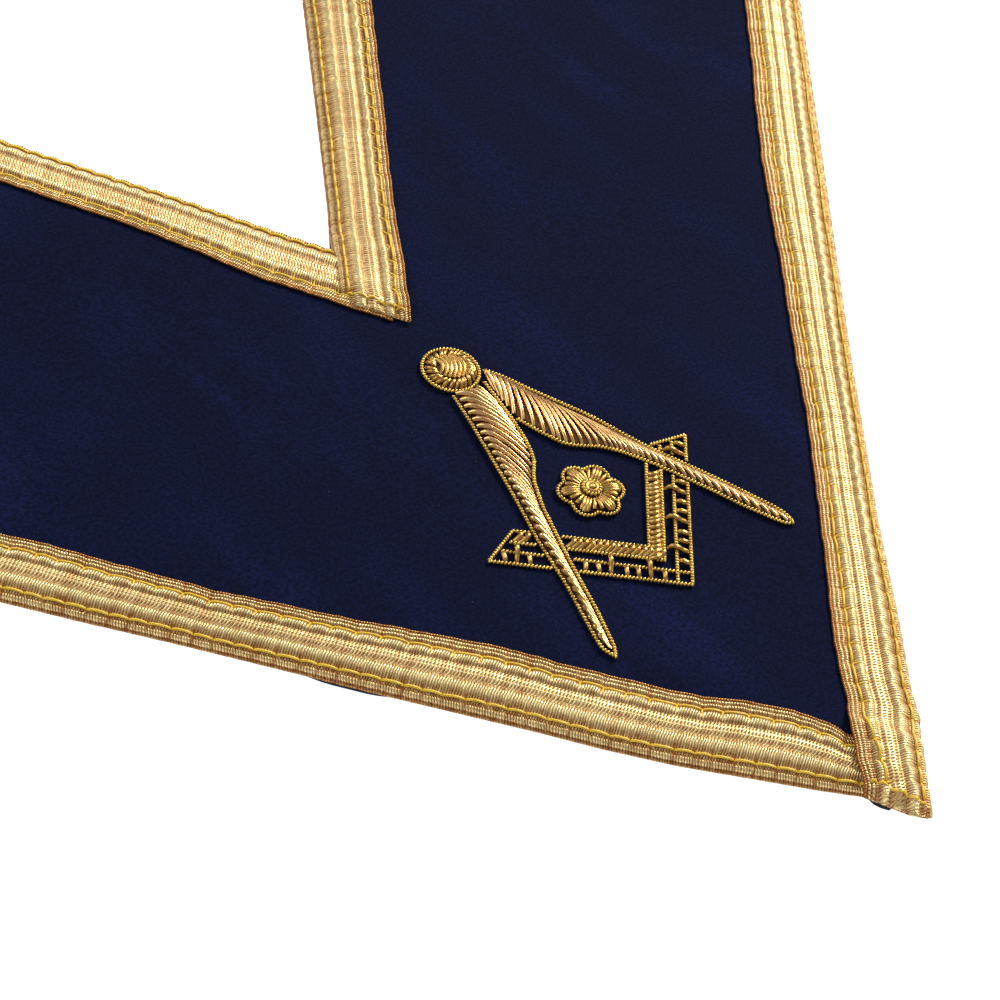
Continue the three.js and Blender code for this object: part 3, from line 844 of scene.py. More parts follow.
def crossing_lift(lace, x, y):
    """How far an upper lace is raised over the lower one, and turned down at its cut end."""
    if not lace.upper:
        return np.zeros_like(x)
    past = towards_other_arm(lace.edge, lace.side, x, y)
    if lace.edge is OUTER:
        raised = smooth((LACE_WIDTH + CROSSING_RAMP - past) / CROSSING_RAMP)
        return CROSSING_LIFT * raised - TIP_END_DROP * (1 - smooth(past / END_LENGTH))
    raised = smooth((CROSSING_RAMP - past) / CROSSING_RAMP)
    return CROSSING_LIFT * raised - CORNER_END_DROP * smooth((-past - CORNER_END) / CORNER_END_LENGTH)


def sewn_share(lace, line, along):
    """The sewing line's place across the lace, which the hand that sewed it let stray."""
    strayed = line.share + 0.008 * ripple(along, 31 * MM, line.phase + lace.side)
    if line is VELVET_LINE:
        strayed = strayed + (0.03 if lace.edge is OPENING else -0.015)
        if lace.name == "outer_lace_right":
            strayed = strayed - 0.13 * (1 - smooth((along - 6 * MM) / (16 * MM)))
    return strayed


def holes_of(lace, line):
    """Places along the lace where the needle went in."""
    start = lace_start(lace, line.share * LACE_WIDTH) + FIRST_HOLE
    count = int((edge_length(lace.edge) - LAST_HOLE - start) / line.pitch)
    steps = start + line.pitch * np.arange(count + 1)
    return steps + 0.12 * line.pitch * ripple(steps, 17 * MM, line.phase)


def lace_start(lace, offset):
    """Where a line at that offset meets the cut end of the lace, whose outer corner is rounded."""
    double = 2 * lace.edge.angle
    start = -lace.edge.inward * (offset / tan(double) + lace.cut_offset / sin(double))
    if lace.upper and lace.edge is OUTER:
        rounded = END_ROUNDING * (1 - smooth(offset / END_LENGTH))
        worn_short = END_WEAR * fading(offset - END_WEAR_PLACE, END_WEAR_LENGTH)
        start = start + rounded + worn_short - END_SLANT * (1 - offset / LACE_WIDTH)
    return start


def relief(lace, along, share, settings):
    """Height of the woven relief: bands, the pressed sewing lines and the pillows between holes."""
    height = np.zeros(np.broadcast(along, share).shape)
    for band in LACE_BANDS:
        inside = (share >= band.start) & (share <= band.end)
        place = np.clip(2 * (share - band.start) / (band.end - band.start) - 1, -1, 1)
        dome = (1 - place**2) ** (0.5 if band.weave in ("rib", "cord") else 0.85)
        height = np.where(inside, band.rise * (0.25 + 0.75 * dome), height)
    for line in SEWING_LINES:
        holes = holes_of(lace, line)
        after = np.searchsorted(holes, along)
        last = len(holes) - 1
        to_next = np.abs(along - holes[np.clip(after, 1, last)])
        to_former = np.abs(along - holes[np.clip(after - 1, 0, last)])
        pinch = fading(np.minimum(to_next, to_former), PINCH_LENGTH)
        away = (share - sewn_share(lace, line, along)) * LACE_WIDTH
        height = height * (1 - 0.7 * pinch * fading(away, PULLED_WIDTH))
        height = height - fading(away, PRESSED_WIDTH) * (LINE_DEPTH + settings.dimple_depth * pinch)
    return height * settings.relief_scale


def lace_surface(lace, along, share, settings, above=0.0):
    """Points on the top of the lace, or a height above it."""
    return lace_points(lace, along, share, LACE_BASE + relief(lace, along, share, settings) + above)


def lace_points(lace, along, share, height):
    """Points at a height over the underside of the lace, which bends down over the cloth's edge."""
    run, drop, slope = wrap_over_edge(share * LACE_WIDTH)
    stray = wandering(lace.outline, along) * smooth((along - lace_start(lace, 0)) / WANDER_FADE + 0.4)
    scallop = SCALLOP_DEPTH * ripple(along, SCALLOP_WAVE, 1.3)
    sway = SWAY_DEPTH * ripple(along, SWAY_WAVE, lace.side)
    offset = run - stray * (1 - share) + (wandering(lace.widen, along) + scallop + sway) * share
    x, y = along_edge(lace.edge, lace.side, along, offset - np.sin(slope) * height)
    z = velvet_height(x, y) + crossing_lift(lace, x, y) - drop + np.cos(slope) * height
    return np.stack(np.broadcast_arrays(x, y, z), axis=-1)


def make_lace(lace, settings, material):
    """One woven lace as a closed strip that follows its edge."""
    widths = [np.linspace(band.start, band.end, band.columns, endpoint=False) for band in LACE_BANDS]
    top_share = np.concatenate([*widths, [1.0]])
    share = np.concatenate([top_share, LACE_UNDERSIDE])
    near = EVEN_ROWS_FROM
    end = edge_length(lace.edge) - BACK_SEAM_GAP
    near_steps = int(near / settings.along_step)
    far_steps = int((end - near) / settings.along_step)
    near_rows = np.linspace(0, 1, near_steps, endpoint=False)[:, None]
    far_rows = np.linspace(0, 1, far_steps + 1)[:, None]
    start = lace_start(lace, share * LACE_WIDTH)
    near_part = start + (near - start) * near_rows
    far_part = np.broadcast_to(near + (end - near) * far_rows, (len(far_rows), len(share)))
    along = np.concatenate([near_part, far_part])
    share = np.broadcast_to(share, along.shape)
    columns = len(top_share)
    top = lace_surface(lace, along[:, :columns], share[:, :columns], settings)
    bottom = lace_points(lace, along[:, columns:], share[:, columns:], UNDERSIDE_HEIGHT)
    phases = []
    for line in SEWING_LINES:
        holes = holes_of(lace, line)
        before_first = np.minimum(along - holes[0], 0) / line.pitch
        phases.append(np.interp(along, holes, np.arange(len(holes))) + before_first)
    uv_maps = {
        "UVMap": np.stack([along, share], axis=-1).reshape(-1, 2),
        "Needle holes": np.stack(phases, axis=-1).reshape(-1, 2),
    }
    piece = capped_strip(lace.name + "_woven", np.concatenate([top, bottom], axis=1), uv_maps)
    return dressed(piece, material, lace.name, slot="gold_lace")


def curve_object(paths, closed=False):
    """A curve of straight splines through rows of x, y and z, and radius if they have one."""
    deselect_all()
    bpy.ops.curve.primitive_bezier_curve_add()
    piece = bpy.context.object
    piece.data.splines.clear()
    piece.data.dimensions = "3D"
    for path in paths:
        spline = piece.data.splines.new("POLY")
        spline.points.add(len(path) - 1)
        spline.points.foreach_set("co", np.column_stack([path[:, :3], np.ones(len(path))]).ravel())
        if path.shape[1] > 3:
            spline.points.foreach_set("radius", path[:, 3])
        spline.use_smooth = True
        spline.use_cyclic_u = closed
    return piece


def wires(name, strands, sides=8):
    """Round wires, each an array of rows x, y, z and radius, made as one mesh."""
    piece = curve_object(strands)
    piece.data.bevel_depth = 1.0
    piece.data.bevel_resolution = sides // 2 - 2
    piece.data.use_fill_caps = True
    activate(piece)
    bpy.ops.object.convert(target="MESH")
    bpy.ops.object.shade_smooth_by_angle(angle=radians(50))
    return joined([bpy.context.object], name)


def threads(points, radius):
    """One strand of thread for each row of points, with its radius at each."""
    size = np.broadcast_to(radius, points.shape[:-1])
    return list(np.concatenate([points, size[..., None]], axis=-1))


def sewn_stitches(lace, line, settings):
    """The running stitches of one sewing line, each diving into the lace at both ends."""
    holes = holes_of(lace, line)
    ease = np.array([0.02, 0.08, 0.25, 0.5, 0.75, 0.92, 0.98])
    along = holes[:-1, None] + (holes[1:] - holes[:-1])[:, None] * ease
    share = sewn_share(lace, line, along)
    radius = settings.thread_radius
    sunk = np.array([-0.7, 0.7, 0.8, 0.8, 0.8, 0.7, -0.7]) * radius
    points = lace_surface(lace, along, share, settings, above=sunk)
    strands = threads(points, radius * np.array([0.7, 1, 1, 1, 1, 1, 0.7]))
    if line.marks:
        reach = np.array([0.0, 0.35, 0.7, 1.0])
        along = holes[:, None] + 0.15 * line.marks * reach
        share = sewn_share(lace, line, along) - line.marks / LACE_WIDTH * reach
        points = lace_surface(lace, along, share, settings, above=0.25 * radius)
        strands += threads(points, radius * np.array([0.9, 0.8, 0.6, 0.3]))
    return strands


def end_stitches(lace, settings):
    """Stitches across the cut end of an upper lace."""
    radius = settings.thread_radius
    ends = np.linspace(0.12, 0.93, 7)
    share = np.linspace(ends[:-1] + 0.01, ends[1:] - 0.01, 6, axis=1)
    along = lace_start(lace, share * LACE_WIDTH) + END_STITCH_INSET + 0.3 * MM * ripple(share, 0.37)
    above = np.array([-1.4, 0.2, 0.7, 0.7, 0.2, -1.4]) * radius
    return threads(lace_surface(lace, along, share, settings, above=above), radius)


def make_stitches(lace, settings, material):
    strands = [strand for line in SEWING_LINES for strand in sewn_stitches(lace, line, settings)]
    if lace.upper:
        strands += end_stitches(lace, settings)
    dressed(wires(stitches_name(lace), strands, sides=6), material, slot="gold_lace")


def stitches_name(lace):
    return lace.name.replace("lace", "stitches")


# Bullion


def placed(path):
    """A path in emblem coordinates, turned and moved onto the collar."""
    x, y = path[:, 0], path[:, 1]
    turned_x = EMBLEM_CORNER.x + x * cos(EMBLEM_TURN) - y * sin(EMBLEM_TURN)
    turned_y = EMBLEM_CORNER.y + x * sin(EMBLEM_TURN) + y * cos(EMBLEM_TURN)
    return np.column_stack([turned_x, turned_y, path[:, 2:]])


def bead_run(name, points, closed, emblem):
    """Pearl purl: slanted beads in a row along a path on the collar."""
    guide = curve_object([points], closed)
    guide.data.twist_mode = "Z_UP"
    rounds = np.concatenate([points, points[:1]]) if closed else points
    length = float(np.linalg.norm(np.diff(rounds, axis=0), axis=1).sum())
    count = max(2, round(length / emblem.bead_pitch))
    step = length / count
    deselect_all()
    bpy.ops.mesh.primitive_uv_sphere_add(segments=8, ring_count=6, radius=0.5, rotation=(0, pi / 2, 0))
    bead = bpy.context.object
    bpy.ops.object.transform_apply(location=False, rotation=True, scale=False)
    bead.scale = (0.96 * step, emblem.bead_diameter, emblem.bead_diameter)
    bpy.ops.object.transform_apply(location=False, rotation=False, scale=True)
    for vertex in bead.data.vertices:
        vertex.co.x += emblem.bead_slant * vertex.co.y + 0.5 * step
    bpy.ops.object.shade_smooth()
    row = {"count": count, "use_relative_offset": False, "use_constant_offset": True}
    row["constant_offset_displace"] = (step, 0, 0)
    for kind, settings in (("ARRAY", row), ("CURVE", {"object": guide, "deform_axis": "POS_X"})):
        modifier = bead.modifiers.new(kind, kind)
        for key, value in settings.items():
            setattr(modifier, key, value)
        bpy.ops.object.modifier_apply(modifier=kind)
    bpy.data.objects.remove(guide)
    bead.name = name
    return bead


def bead_runs(name, paths, closed, emblem):
    """Several runs of beads as one piece."""
    return joined([bead_run("run", path, closed, emblem) for path in paths], name)


def leg_sides(leg, reach):
    """The leg's outer and inner side at a reach from the hinge."""
    stops, outer, inner = np.transpose(leg.rows)
    share = reach / LEG_LENGTH
    return np.interp(share, stops, outer) * HEAD_RADIUS, np.interp(share, stops, inner) * HEAD_RADIUS


def leg_end(leg):
    """How far a leg reaches from the hinge."""
    return leg.rows[-1][0] * LEG_LENGTH


def leg_pad(reach):
    """Height of a leg's padding, which thins towards its tip."""
    return LEG_PAD + (LEG_TIP_PAD - LEG_PAD) * reach / LEG_LENGTH


def leg_place(leg, reach, beside):
    """Emblem coordinates of a place on a leg."""
    x = HINGE.x + leg.side * (reach * sin(leg.angle) + beside * cos(leg.angle))
    return x, HINGE.y - reach * cos(leg.angle) + beside * sin(leg.angle)


def within_leg(leg, x, y, margin):
    """Whether places in emblem coordinates lie on a leg of the compasses."""
    across, down = leg.side * (x - HINGE.x), HINGE.y - y
    reach = across * sin(leg.angle) + down * cos(leg.angle)
    beside = across * cos(leg.angle) - down * sin(leg.angle)
    outer, inner = leg_sides(leg, reach)
    within = (beside < outer + margin) & (beside > inner - margin)
    return within & (reach > 0) & (reach < leg_end(leg) + margin)


def under_a_leg(x, y, margin):
    return within_leg(RIGHT_LEG, x, y, margin) | within_leg(LEFT_LEG, x, y, margin)


def clear_stretches(path, margin):
    """The stretches of a path that no leg covers."""
    clear = ~under_a_leg(path[:, 0], path[:, 1], margin)
    edges = np.flatnonzero(np.diff(clear.astype(int))) + 1
    stretches = np.split(path, edges)
    return [part for part, start in zip(stretches, [0, *edges]) if clear[start] and len(part) > 2]


def shows_on(leg, x, y, margin):
    """Whether places on a leg are clear of the head, and of the left leg that lies over the right one."""
    clear = np.hypot(x - HEAD_CENTRE.x, y - HEAD_CENTRE.y) > HEAD_RING + 0.2 * MM + margin
    if leg is RIGHT_LEG:
        clear &= ~within_leg(LEFT_LEG, x, y, margin)
    return clear


def padded_rise(place):
    """Rise of the padding over its half width, as a share of its height."""
    return np.interp(np.abs(place), [0, 0.5, 0.85, 1.0], [1.0, 0.86, 0.42, 0.0])


def wire_rows(x, y, height, radius):
    """Rows x, y, z and radius of a wire, its height measured from the emblem's seat."""
    return np.column_stack(np.broadcast_arrays(x, y, EMBLEM_SEAT + height, radius))


def leg_strands(leg, emblem):
    """Smooth purl laid side by side at a slant over the leg's padding, thinner where it runs closer."""
    strands = []
    share = np.linspace(0, 1, emblem.strand_points) ** 1.3
    widest = max(outer - inner for _, outer, inner in leg.rows) * HEAD_RADIUS
    side_gap = 0.7 * (emblem.bead_diameter + emblem.strand_radius)
    start = 1.0 * MM
    index = 0
    while start < LEG_LENGTH - 1.6 * MM:
        pitch = leg.pitch + (leg.far_pitch - leg.pitch) * float(smooth((start / LEG_LENGTH - 0.3) / 0.35))
        outer, inner = leg_sides(leg, start)
        wide = float(smooth(((outer - inner) / widest - 0.42) / 0.58))
        length = (leg.far_reach + (leg.reach - leg.far_reach) * wide) * (1 + 0.05 * ripple(index, 7.3))
        reach = start + length * share
        outer, inner = leg_sides(leg, reach)
        middle = (outer + inner) / 2
        half = np.maximum((outer - inner) / 2 - side_gap, 0.1 * MM)
        first, last = (middle + half)[0], (middle - half)[-1]
        beside = np.clip(first + (last - first) * share**leg.sweep, middle - half, middle + half)
        slope = np.gradient(beside, reach)
        spacing = pitch * np.abs(slope) / np.sqrt(1 + slope**2)
        radius = np.clip(0.45 * spacing, 0.2 * MM, 1.15 * emblem.strand_radius)
        rise = padded_rise((beside - middle) / (half + 0.6 * radius)) * leg_pad(reach) - 0.15 * MM * share
        x, y = leg_place(leg, reach, beside)
        clear = shows_on(leg, x, y, 0.25 * MM) & (reach < LEG_LENGTH - 0.4 * MM)
        if clear.sum() > 3:
            strand = wire_rows(x, y, 0.85 * radius + rise, radius)[clear]
            strand[0, 3] *= 0.75
            strands.append(placed(strand))
        start += pitch * (1 + 0.06 * ripple(index, 4.7, leg.side))
        index += 1
    return strands


def leg_outline(leg, emblem):
    """The pearl purl that edges a leg, down one side, round the tip and up the other."""
    reach = np.linspace(4 * MM, leg_end(leg), 90)
    outer, inner = leg_sides(leg, reach)
    inset = 0.45 * emblem.bead_diameter
    beside = np.concatenate([outer - inset, (inner + inset)[::-1]])
    reach = np.concatenate([reach, reach[::-1]])
    x, y = leg_place(leg, reach, beside)
    height = np.full(len(x), EMBLEM_SEAT + 0.5 * emblem.bead_diameter)
    return placed(np.column_stack([x, y, height])[shows_on(leg, x, y, 0.3 * emblem.bead_diameter)])


def make_leg_padding(leg, emblem, core):
    """The felt under a leg's strands, a little narrower than the leg."""
    reach = np.linspace(HEAD_RADIUS, LEG_LENGTH - 2.2 * MM, 60)[:, None]
    place = np.linspace(-1, 1, 11)
    outer, inner = leg_sides(leg, reach)
    half = (outer - inner) / 2 - 1.2 * emblem.bead_diameter
    x, y = leg_place(leg, reach, (outer + inner) / 2 + half * place)
    height = EMBLEM_SEAT + 0.05 * MM + 0.72 * leg_pad(reach) * padded_rise(place)
    top = placed(np.column_stack([x.ravel(), y.ravel(), height.ravel()])).reshape(*x.shape, 3)
    base = top[:, [8, 5, 2]].copy()
    base[:, :, 2] = EMBLEM_SEAT - 0.1 * MM
    dressed(capped_strip(leg.name + "_padding", np.concatenate([top, base], axis=1)), core)


def make_leg(leg, emblem, smooth_purl, pearl_purl, core):
    make_leg_padding(leg, emblem, core)
    dressed(wires(leg.name + "_strands", leg_strands(leg, emblem)), smooth_purl, leg.name)
    dressed(bead_run(leg.name + "_edging", leg_outline(leg, emblem), False, emblem), pearl_purl, leg.name)


def round_points(centre, radius, angle):
    return centre.x + radius * np.cos(angle), centre.y + radius * np.sin(angle)


def circle_path(centre, radius, height, steps=72, lobes=0, notch=0.0, turn=0.0):
    """A closed path round a centre, drawn in between its lobes if it has any."""
    angle = 2 * pi * np.arange(steps) / steps
    drawn = np.full(steps, radius)
    if lobes:
        drawn = radius * (1 - notch * (1 - np.abs(np.sin(lobes * angle / 2))))
    return np.column_stack([*round_points(centre, drawn, angle + turn), np.full(steps, height)])


def wire_ring(centre, radius, height, thickness):
    """A ring of wire whose ends meet."""
    x, y = round_points(centre, radius, np.linspace(0, 2 * pi, 21))
    return wire_rows(x, y, height, thickness)


def padding(name, centre, radius, height):
    """A low felt dome under the bullion."""
    deselect_all()
    bpy.ops.mesh.primitive_uv_sphere_add(segments=32, ring_count=16, radius=radius)
    dome = bpy.context.object
    halve = {"plane_co": (0, 0, 0), "plane_no": (0, 0, 1), "clear_inner": True, "use_fill": True}
    edit_all((bpy.ops.mesh.bisect, halve))
    dome.scale.z = height / radius
    dome.location = (centre.x, centre.y, EMBLEM_SEAT)
    bpy.ops.object.transform_apply(location=True, rotation=True, scale=True)
    bpy.ops.object.shade_smooth_by_angle(angle=radians(40))
    dome.name = name
    return dome


def head_strands(emblem):
    """Short purls round the head, curved ones over its middle and a small eyelet beside them."""
    strands = []
    thick = 0.82 * emblem.strand_radius
    count = 26
    share = np.array([0.86, 0.8, 0.7, 0.6, 0.52])
    rise = np.array([0.1, 0.55, 0.8, 0.75, 0.55]) * HEAD_PAD
    for index in range(count):
        angle = 2 * pi * (index + 0.35 * ripple(index, 5.1)) / count
        turn = angle + 0.9 * (0.86 - share) * (1 + 0.4 * ripple(index, 3.3))
        x, y = round_points(HEAD_CENTRE, HEAD_RING * share, turn)
        strands.append(wire_rows(x, y, 0.3 * MM + rise, thick * np.array([0.8, 1, 1, 1, 0.8])))
    run = np.linspace(-1, 1, 9)
    for place in np.linspace(-0.45, 0.3, 6):
        along = HEAD_RING * 0.5 * sqrt(1 - (1.6 * place) ** 2) * run
        bow = HEAD_RING * (place + 0.14 * (1 - run**2))
        x = HEAD_CENTRE.x + bow * cos(CURL_TURN) - along * sin(CURL_TURN)
        y = HEAD_CENTRE.y + bow * sin(CURL_TURN) + along * cos(CURL_TURN)
        strands.append(wire_rows(x, y, HEAD_PAD + 0.45 * MM - 0.3 * MM * run**2, 1.05 * thick))
    centre = HEAD_CENTRE + 0.56 * HEAD_RING * Vector((cos(CURL_TURN), sin(CURL_TURN)))
    for share, height in ((0.24, 0.95), (0.13, 1.15)):
        strands.append(wire_ring(centre, share * HEAD_RING, height * HEAD_PAD, 0.8 * thick))
    return [placed(strand) for strand in strands]


def make_head(emblem, curled_purl, pearl_purl, core):
    """The compasses' head: a ring of pearl purl round a field of curled purl."""
    centre = Vector(placed(np.array([[*HEAD_CENTRE, 0.0]]))[0])
    dome = padding("compass_head_padding", centre, 0.85 * HEAD_RING, HEAD_PAD)
    dressed(dome, core, "compass_head")
    seat = EMBLEM_SEAT + 0.5 * emblem.bead_diameter
    ring = placed(circle_path(HEAD_CENTRE, HEAD_RING - 0.1 * MM, seat))
    dressed(bead_run("compass_head_edging", ring, True, emblem), pearl_purl)
    dressed(wires("compass_head_strands", head_strands(emblem)), curled_purl)


def square_point(side, along, inset):
    """A point of the square: along one arm from its outer corner, and in from its outer side."""
    x = side * (along * sin(SQUARE_HALF_ANGLE) - inset * cos(SQUARE_HALF_ANGLE))
    return x, along * cos(SQUARE_HALF_ANGLE) + inset * sin(SQUARE_HALF_ANGLE)


def square_line(inset, shorten):
    """A line at one inset round both arms, from one slanted end to the other."""
    corner = (0.0, inset / sin(SQUARE_HALF_ANGLE))
    last = SQUARE_ARM - inset * tan(SQUARE_SLANT) - shorten
    right, left = [np.linspace(square_point(side, last, inset), corner, 120) for side in (1, -1)]
    return np.concatenate([right, left[::-1][1:]])


def square_outline(emblem):
    """The square's outline as one path, from inside one end round to the start again."""
    half = 0.45 * emblem.bead_diameter
    outside = square_line(half, 0.3 * MM)
    inside = square_line(SQUARE_WIDTH - half, 0.3 * MM)
    ends = [np.linspace(outside[-1], inside[-1], 30)[1:-1], np.linspace(inside[0], outside[0], 30)[1:]]
    return np.concatenate([outside, ends[0], inside[::-1], ends[1]])


def scale_lines():
    """The two lines of the scale, which cross at the corner."""
    for side in (1, -1):
        last = SQUARE_ARM - SCALE_INSET * tan(SQUARE_SLANT) - 1.0 * MM
        along = np.linspace(0.7 * MM, last, 120)
        yield np.column_stack(square_point(side, along, SCALE_INSET))


def clear_runs(name, lines, emblem):
    """Pearl purl on lines of the square, stopping at the legs."""
    paths = []
    for line in lines:
        path = np.column_stack([line, np.full(len(line), EMBLEM_SEAT + 0.48 * emblem.bead_diameter)])
        paths += [placed(part) for part in clear_stretches(path, 0.15 * MM)]
    return bead_runs(name, paths, False, emblem)


def make_square(emblem, curled_purl, pearl_purl):
    """The square: pearl purl outline, band of purl, scale lines and rungs."""
    border = [square_outline(emblem)]
    dressed(clear_runs("square_border_beads", border, emblem), pearl_purl, "square_border")
    dressed(clear_runs("square_scale_beads", scale_lines(), emblem), pearl_purl, "square_scale_line")
    band_line = square_line(BAND_LINE_INSET, 1.2 * MM)
    dressed(clear_runs("square_band_beads", [band_line], emblem), pearl_purl)
    dressed(wires("square_band_strands", band_strands(emblem)), curled_purl, "square_band")
    dressed(wires("square_rungs", rung_strands(emblem)), curled_purl)


def clear_of_legs(strands):
    """The strands that no leg covers, on the collar."""
    return [placed(strand) for strand in strands if not under_a_leg(*strand.T[:2], 0.2 * MM).any()]


def band_strands(emblem):
    """Crescents of purl laid over one another along the band, a little uneven."""
    strands = []
    share = np.linspace(-1, 1, 9)
    inset = BAND_INSET + 0.48 * BAND_WIDTH * share
    rise = BAND_PAD * (1 - share**2) + 0.25 * MM * (0.5 + 0.5 * share)
    places = np.arange(BAND_INSET / tan(SQUARE_HALF_ANGLE) - 0.6 * MM, SQUARE_ARM - 5.0 * MM, 1.22 * MM)
    for side in (1, -1):
        for index, start in enumerate(places):
            slant = 1.3 * MM * (1 + 0.4 * ripple(index, 3.7, side))
            along = start - 0.5 * slant * share - 0.6 * MM * (1 - share**2) + 0.2 * MM * ripple(index, 5.3)
            x, y = square_point(side, along, inset)
            strands.append(wire_rows(x, y, 0.35 * MM + rise, emblem.strand_radius))
    return clear_of_legs(strands)


def rung_strands(emblem):
    """The scale's rungs: bowed pieces of thick purl."""
    strands = []
    share = np.linspace(0, 1, 8)
    radius = emblem.rung_radius * np.array([0.7, 0.95, 1, 1, 1, 1, 0.95, 0.75])
    bow = 0.7 * emblem.rung_radius * np.sqrt(1 - (2 * share - 1) ** 4)
    for side in (1, -1):
        for index, place in enumerate(RUNGS):
            long = place in LONG_RUNGS
            first, last = 0.8 * MM, 4.8 * MM if long else SCALE_INSET - 0.45 * MM
            lean = 0.7 * MM * (0.4 + 0.5 * ripple(index, 3.3, side)) * (share - 0.5)
            x, y = square_point(side, place * MM + lean, first + (last - first) * share)
            over_line = (0.75 * MM if long else 0.1 * MM) * smooth(2.4 * share - 0.6)
            lift = (bow + over_line) * (1 - 0.7 * smooth(6 * share - 5))
            strands.append(wire_rows(x, y, 0.3 * MM + lift, radius))
    return clear_of_legs(strands)


def rosette_strands(centre, emblem):
    """Purls that radiate over the petals, and two rings over the middle."""
    strands = []
    count = 5 * ROSETTE_PETALS
    taper = np.array([0.9, 1, 1, 1, 1, 1, 0.85])
    for index in range(count):
        angle = 2 * pi * (index + 0.5) / count
        lobe = 1 - ROSETTE_NOTCH * (1 - abs(sin(ROSETTE_PETALS * angle / 2)))
        share = np.linspace(0.36, lobe - 0.1, 7)
        rise = np.interp(share, [0.36, 0.6, 0.8, 0.95], [0.95, 0.9, 0.5, 0.1]) * ROSETTE_PAD
        leaning = angle + EMBLEM_TURN + 0.25 * sin(ROSETTE_PETALS * angle) * (share - 0.36)
        x, y = round_points(centre, ROSETTE_RADIUS * share, leaning)
        size = np.minimum(0.98 * pi * ROSETTE_RADIUS * share / count, emblem.strand_radius) * taper
        strands.append(wire_rows(x, y, 0.75 * size + rise, size))
    for share, lift in ((0.16, 0.6), (0.04, 0.8)):
        height = ROSETTE_PAD + lift * MM
        strands.append(wire_ring(centre, share * ROSETTE_RADIUS, height, 0.8 * emblem.strand_radius))
    return strands


def make_rosette(emblem, curled_purl, pearl_purl, core):
    """A small flower of bullion: lobed outline, radial purls and a beaded middle."""
    low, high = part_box("rosette")
    centre = (low + high) / 2
    dressed(padding("rosette_padding", centre, 0.72 * ROSETTE_RADIUS, ROSETTE_PAD), core)
    seat = EMBLEM_SEAT + 0.5 * emblem.bead_diameter
    outline = circle_path(centre, ROSETTE_RADIUS, seat, 120, ROSETTE_PETALS, ROSETTE_NOTCH, EMBLEM_TURN)
    ring = circle_path(centre, 0.26 * ROSETTE_RADIUS, EMBLEM_SEAT + ROSETTE_PAD + 0.5 * MM)
    dressed(bead_runs("rosette_edging", [outline, ring], True, emblem), pearl_purl)
    dressed(wires("rosette_strands", rosette_strands(centre, emblem)), curled_purl, "rosette")


# Settings, operators and panel


def colour(name, description, default):
    return FloatVectorProperty(
        name=name, description=description, default=default, size=3, subtype="COLOR", min=0, max=1
    )


def length(name, description, default):
    return FloatProperty(
        name=name, description=description, default=default, min=0, unit="LENGTH", precision=5
    )


def number(name, description, default, unit="NONE"):
    return FloatProperty(name=name, description=description, default=default, min=0, unit=unit)


def turn(name, description, default):
    return FloatProperty(name=name, description=description, default=default, unit="ROTATION")


def count(name, description, default, lowest):
    return IntProperty(name=name, description=description, default=default, min=lowest)


class ClothSettings(bpy.types.PropertyGroup):
    """The velvet and its lining."""

    pile_colour: colour("Pile", "Colour of the velvet's pile", (0.0042, 0.0068, 0.029))
    pile_shadow_colour: colour("Pile shadow", "Colour between the pile's tufts", (0.0022, 0.0028, 0.0085))
    brushed_colour: colour("Brushed pile", "Colour where the pile is brushed back", (0.006, 0.012, 0.060))
    lint_colour: colour("Lint", "Colour of the lint on the pile", (0.03, 0.04, 0.1))
    lining_colour: colour("Lining", "Colour of the cotton lining", (0.012, 0.015, 0.038))
    outline_steps: count("Outline steps", "Steps along each stretch", 130, 20)
    rows_across: count("Rows", "Rows of faces in from each edge", 22, 4)


class LaceSettings(bpy.types.PropertyGroup):
    """The metallic laces and their stitches."""

    straw_colour: colour("Straw", "Colour of the strands' tops", (0.97, 0.765, 0.36))
    # Copper is the ground between the strands and also the colour of their painted shade
    copper_and_shade_colour: colour("Copper", "Colour between the strands", (0.36, 0.14, 0.032))
    rib_colour: colour("Selvedge", "Colour of the lace's two edges", (0.80, 0.47, 0.15))
    rib_shadow_colour: colour("Selvedge shadow", "Colour between their turns", (0.30, 0.10, 0.02))
    thread_colour: colour("Thread", "Colour of the sewing thread", (0.95, 0.62, 0.04))
    # The gaps' darkness is painted shade between the strands
    gap_contrast: number("Gaps", "How dark the gaps between strands are", 0.95)
    strand_pitch: length("Strand pitch", "Distance between satin strands", 0.5 * MM)
    strand_slant: number("Slant", "Slant of the satin strands", 0.12)
    pip_pitch: length("Pip pitch", "Distance between pips along a row", 0.64 * MM)
    pip_row: length("Pip row", "Width of a row of pips", 1.0 * MM)
    along_step: length("Step", "Length of a face along the lace", 0.55 * MM)
    dimple_depth: length("Dimple", "Depth of the dimple at a needle hole", 0.12 * MM)
    relief_scale: number("Relief", "Scale of the woven relief", 1.0)
    thread_radius: length("Thread radius", "Radius of the sewing thread", 0.26 * MM)


class EmblemSettings(bpy.types.PropertyGroup):
    """The bullion embroidery."""

    gold_colour: colour("Gold", "Colour of the pearl purl", (0.92, 0.66, 0.17))
    curl_colour: colour("Curled gold", "Colour of the curled purl", (0.58, 0.36, 0.105))
    rose_colour: colour("Rose gold", "Colour of the smooth purl", (0.78, 0.50, 0.22))
    # Tarnish in patches on the wires, and the dark colour of the padding between them, which is painted
    # shade
    tarnish_and_shade_colour: colour("Tarnish", "Colour of tarnish and padding", (0.30, 0.14, 0.035))
    bead_pitch: length("Bead pitch", "Distance between beads of pearl purl", 0.7 * MM)
    bead_diameter: length("Bead", "Thickness of the pearl purl", 0.92 * MM)
    bead_slant: number("Bead slant", "How far the beads lean along the row", 0.4)
    strand_radius: length("Strand radius", "Radius of the smooth purl", 0.53 * MM)
    strand_points: count("Strand points", "Points along each strand", 18, 4)
    rung_radius: length("Rung radius", "Radius of a rung", 0.52 * MM)


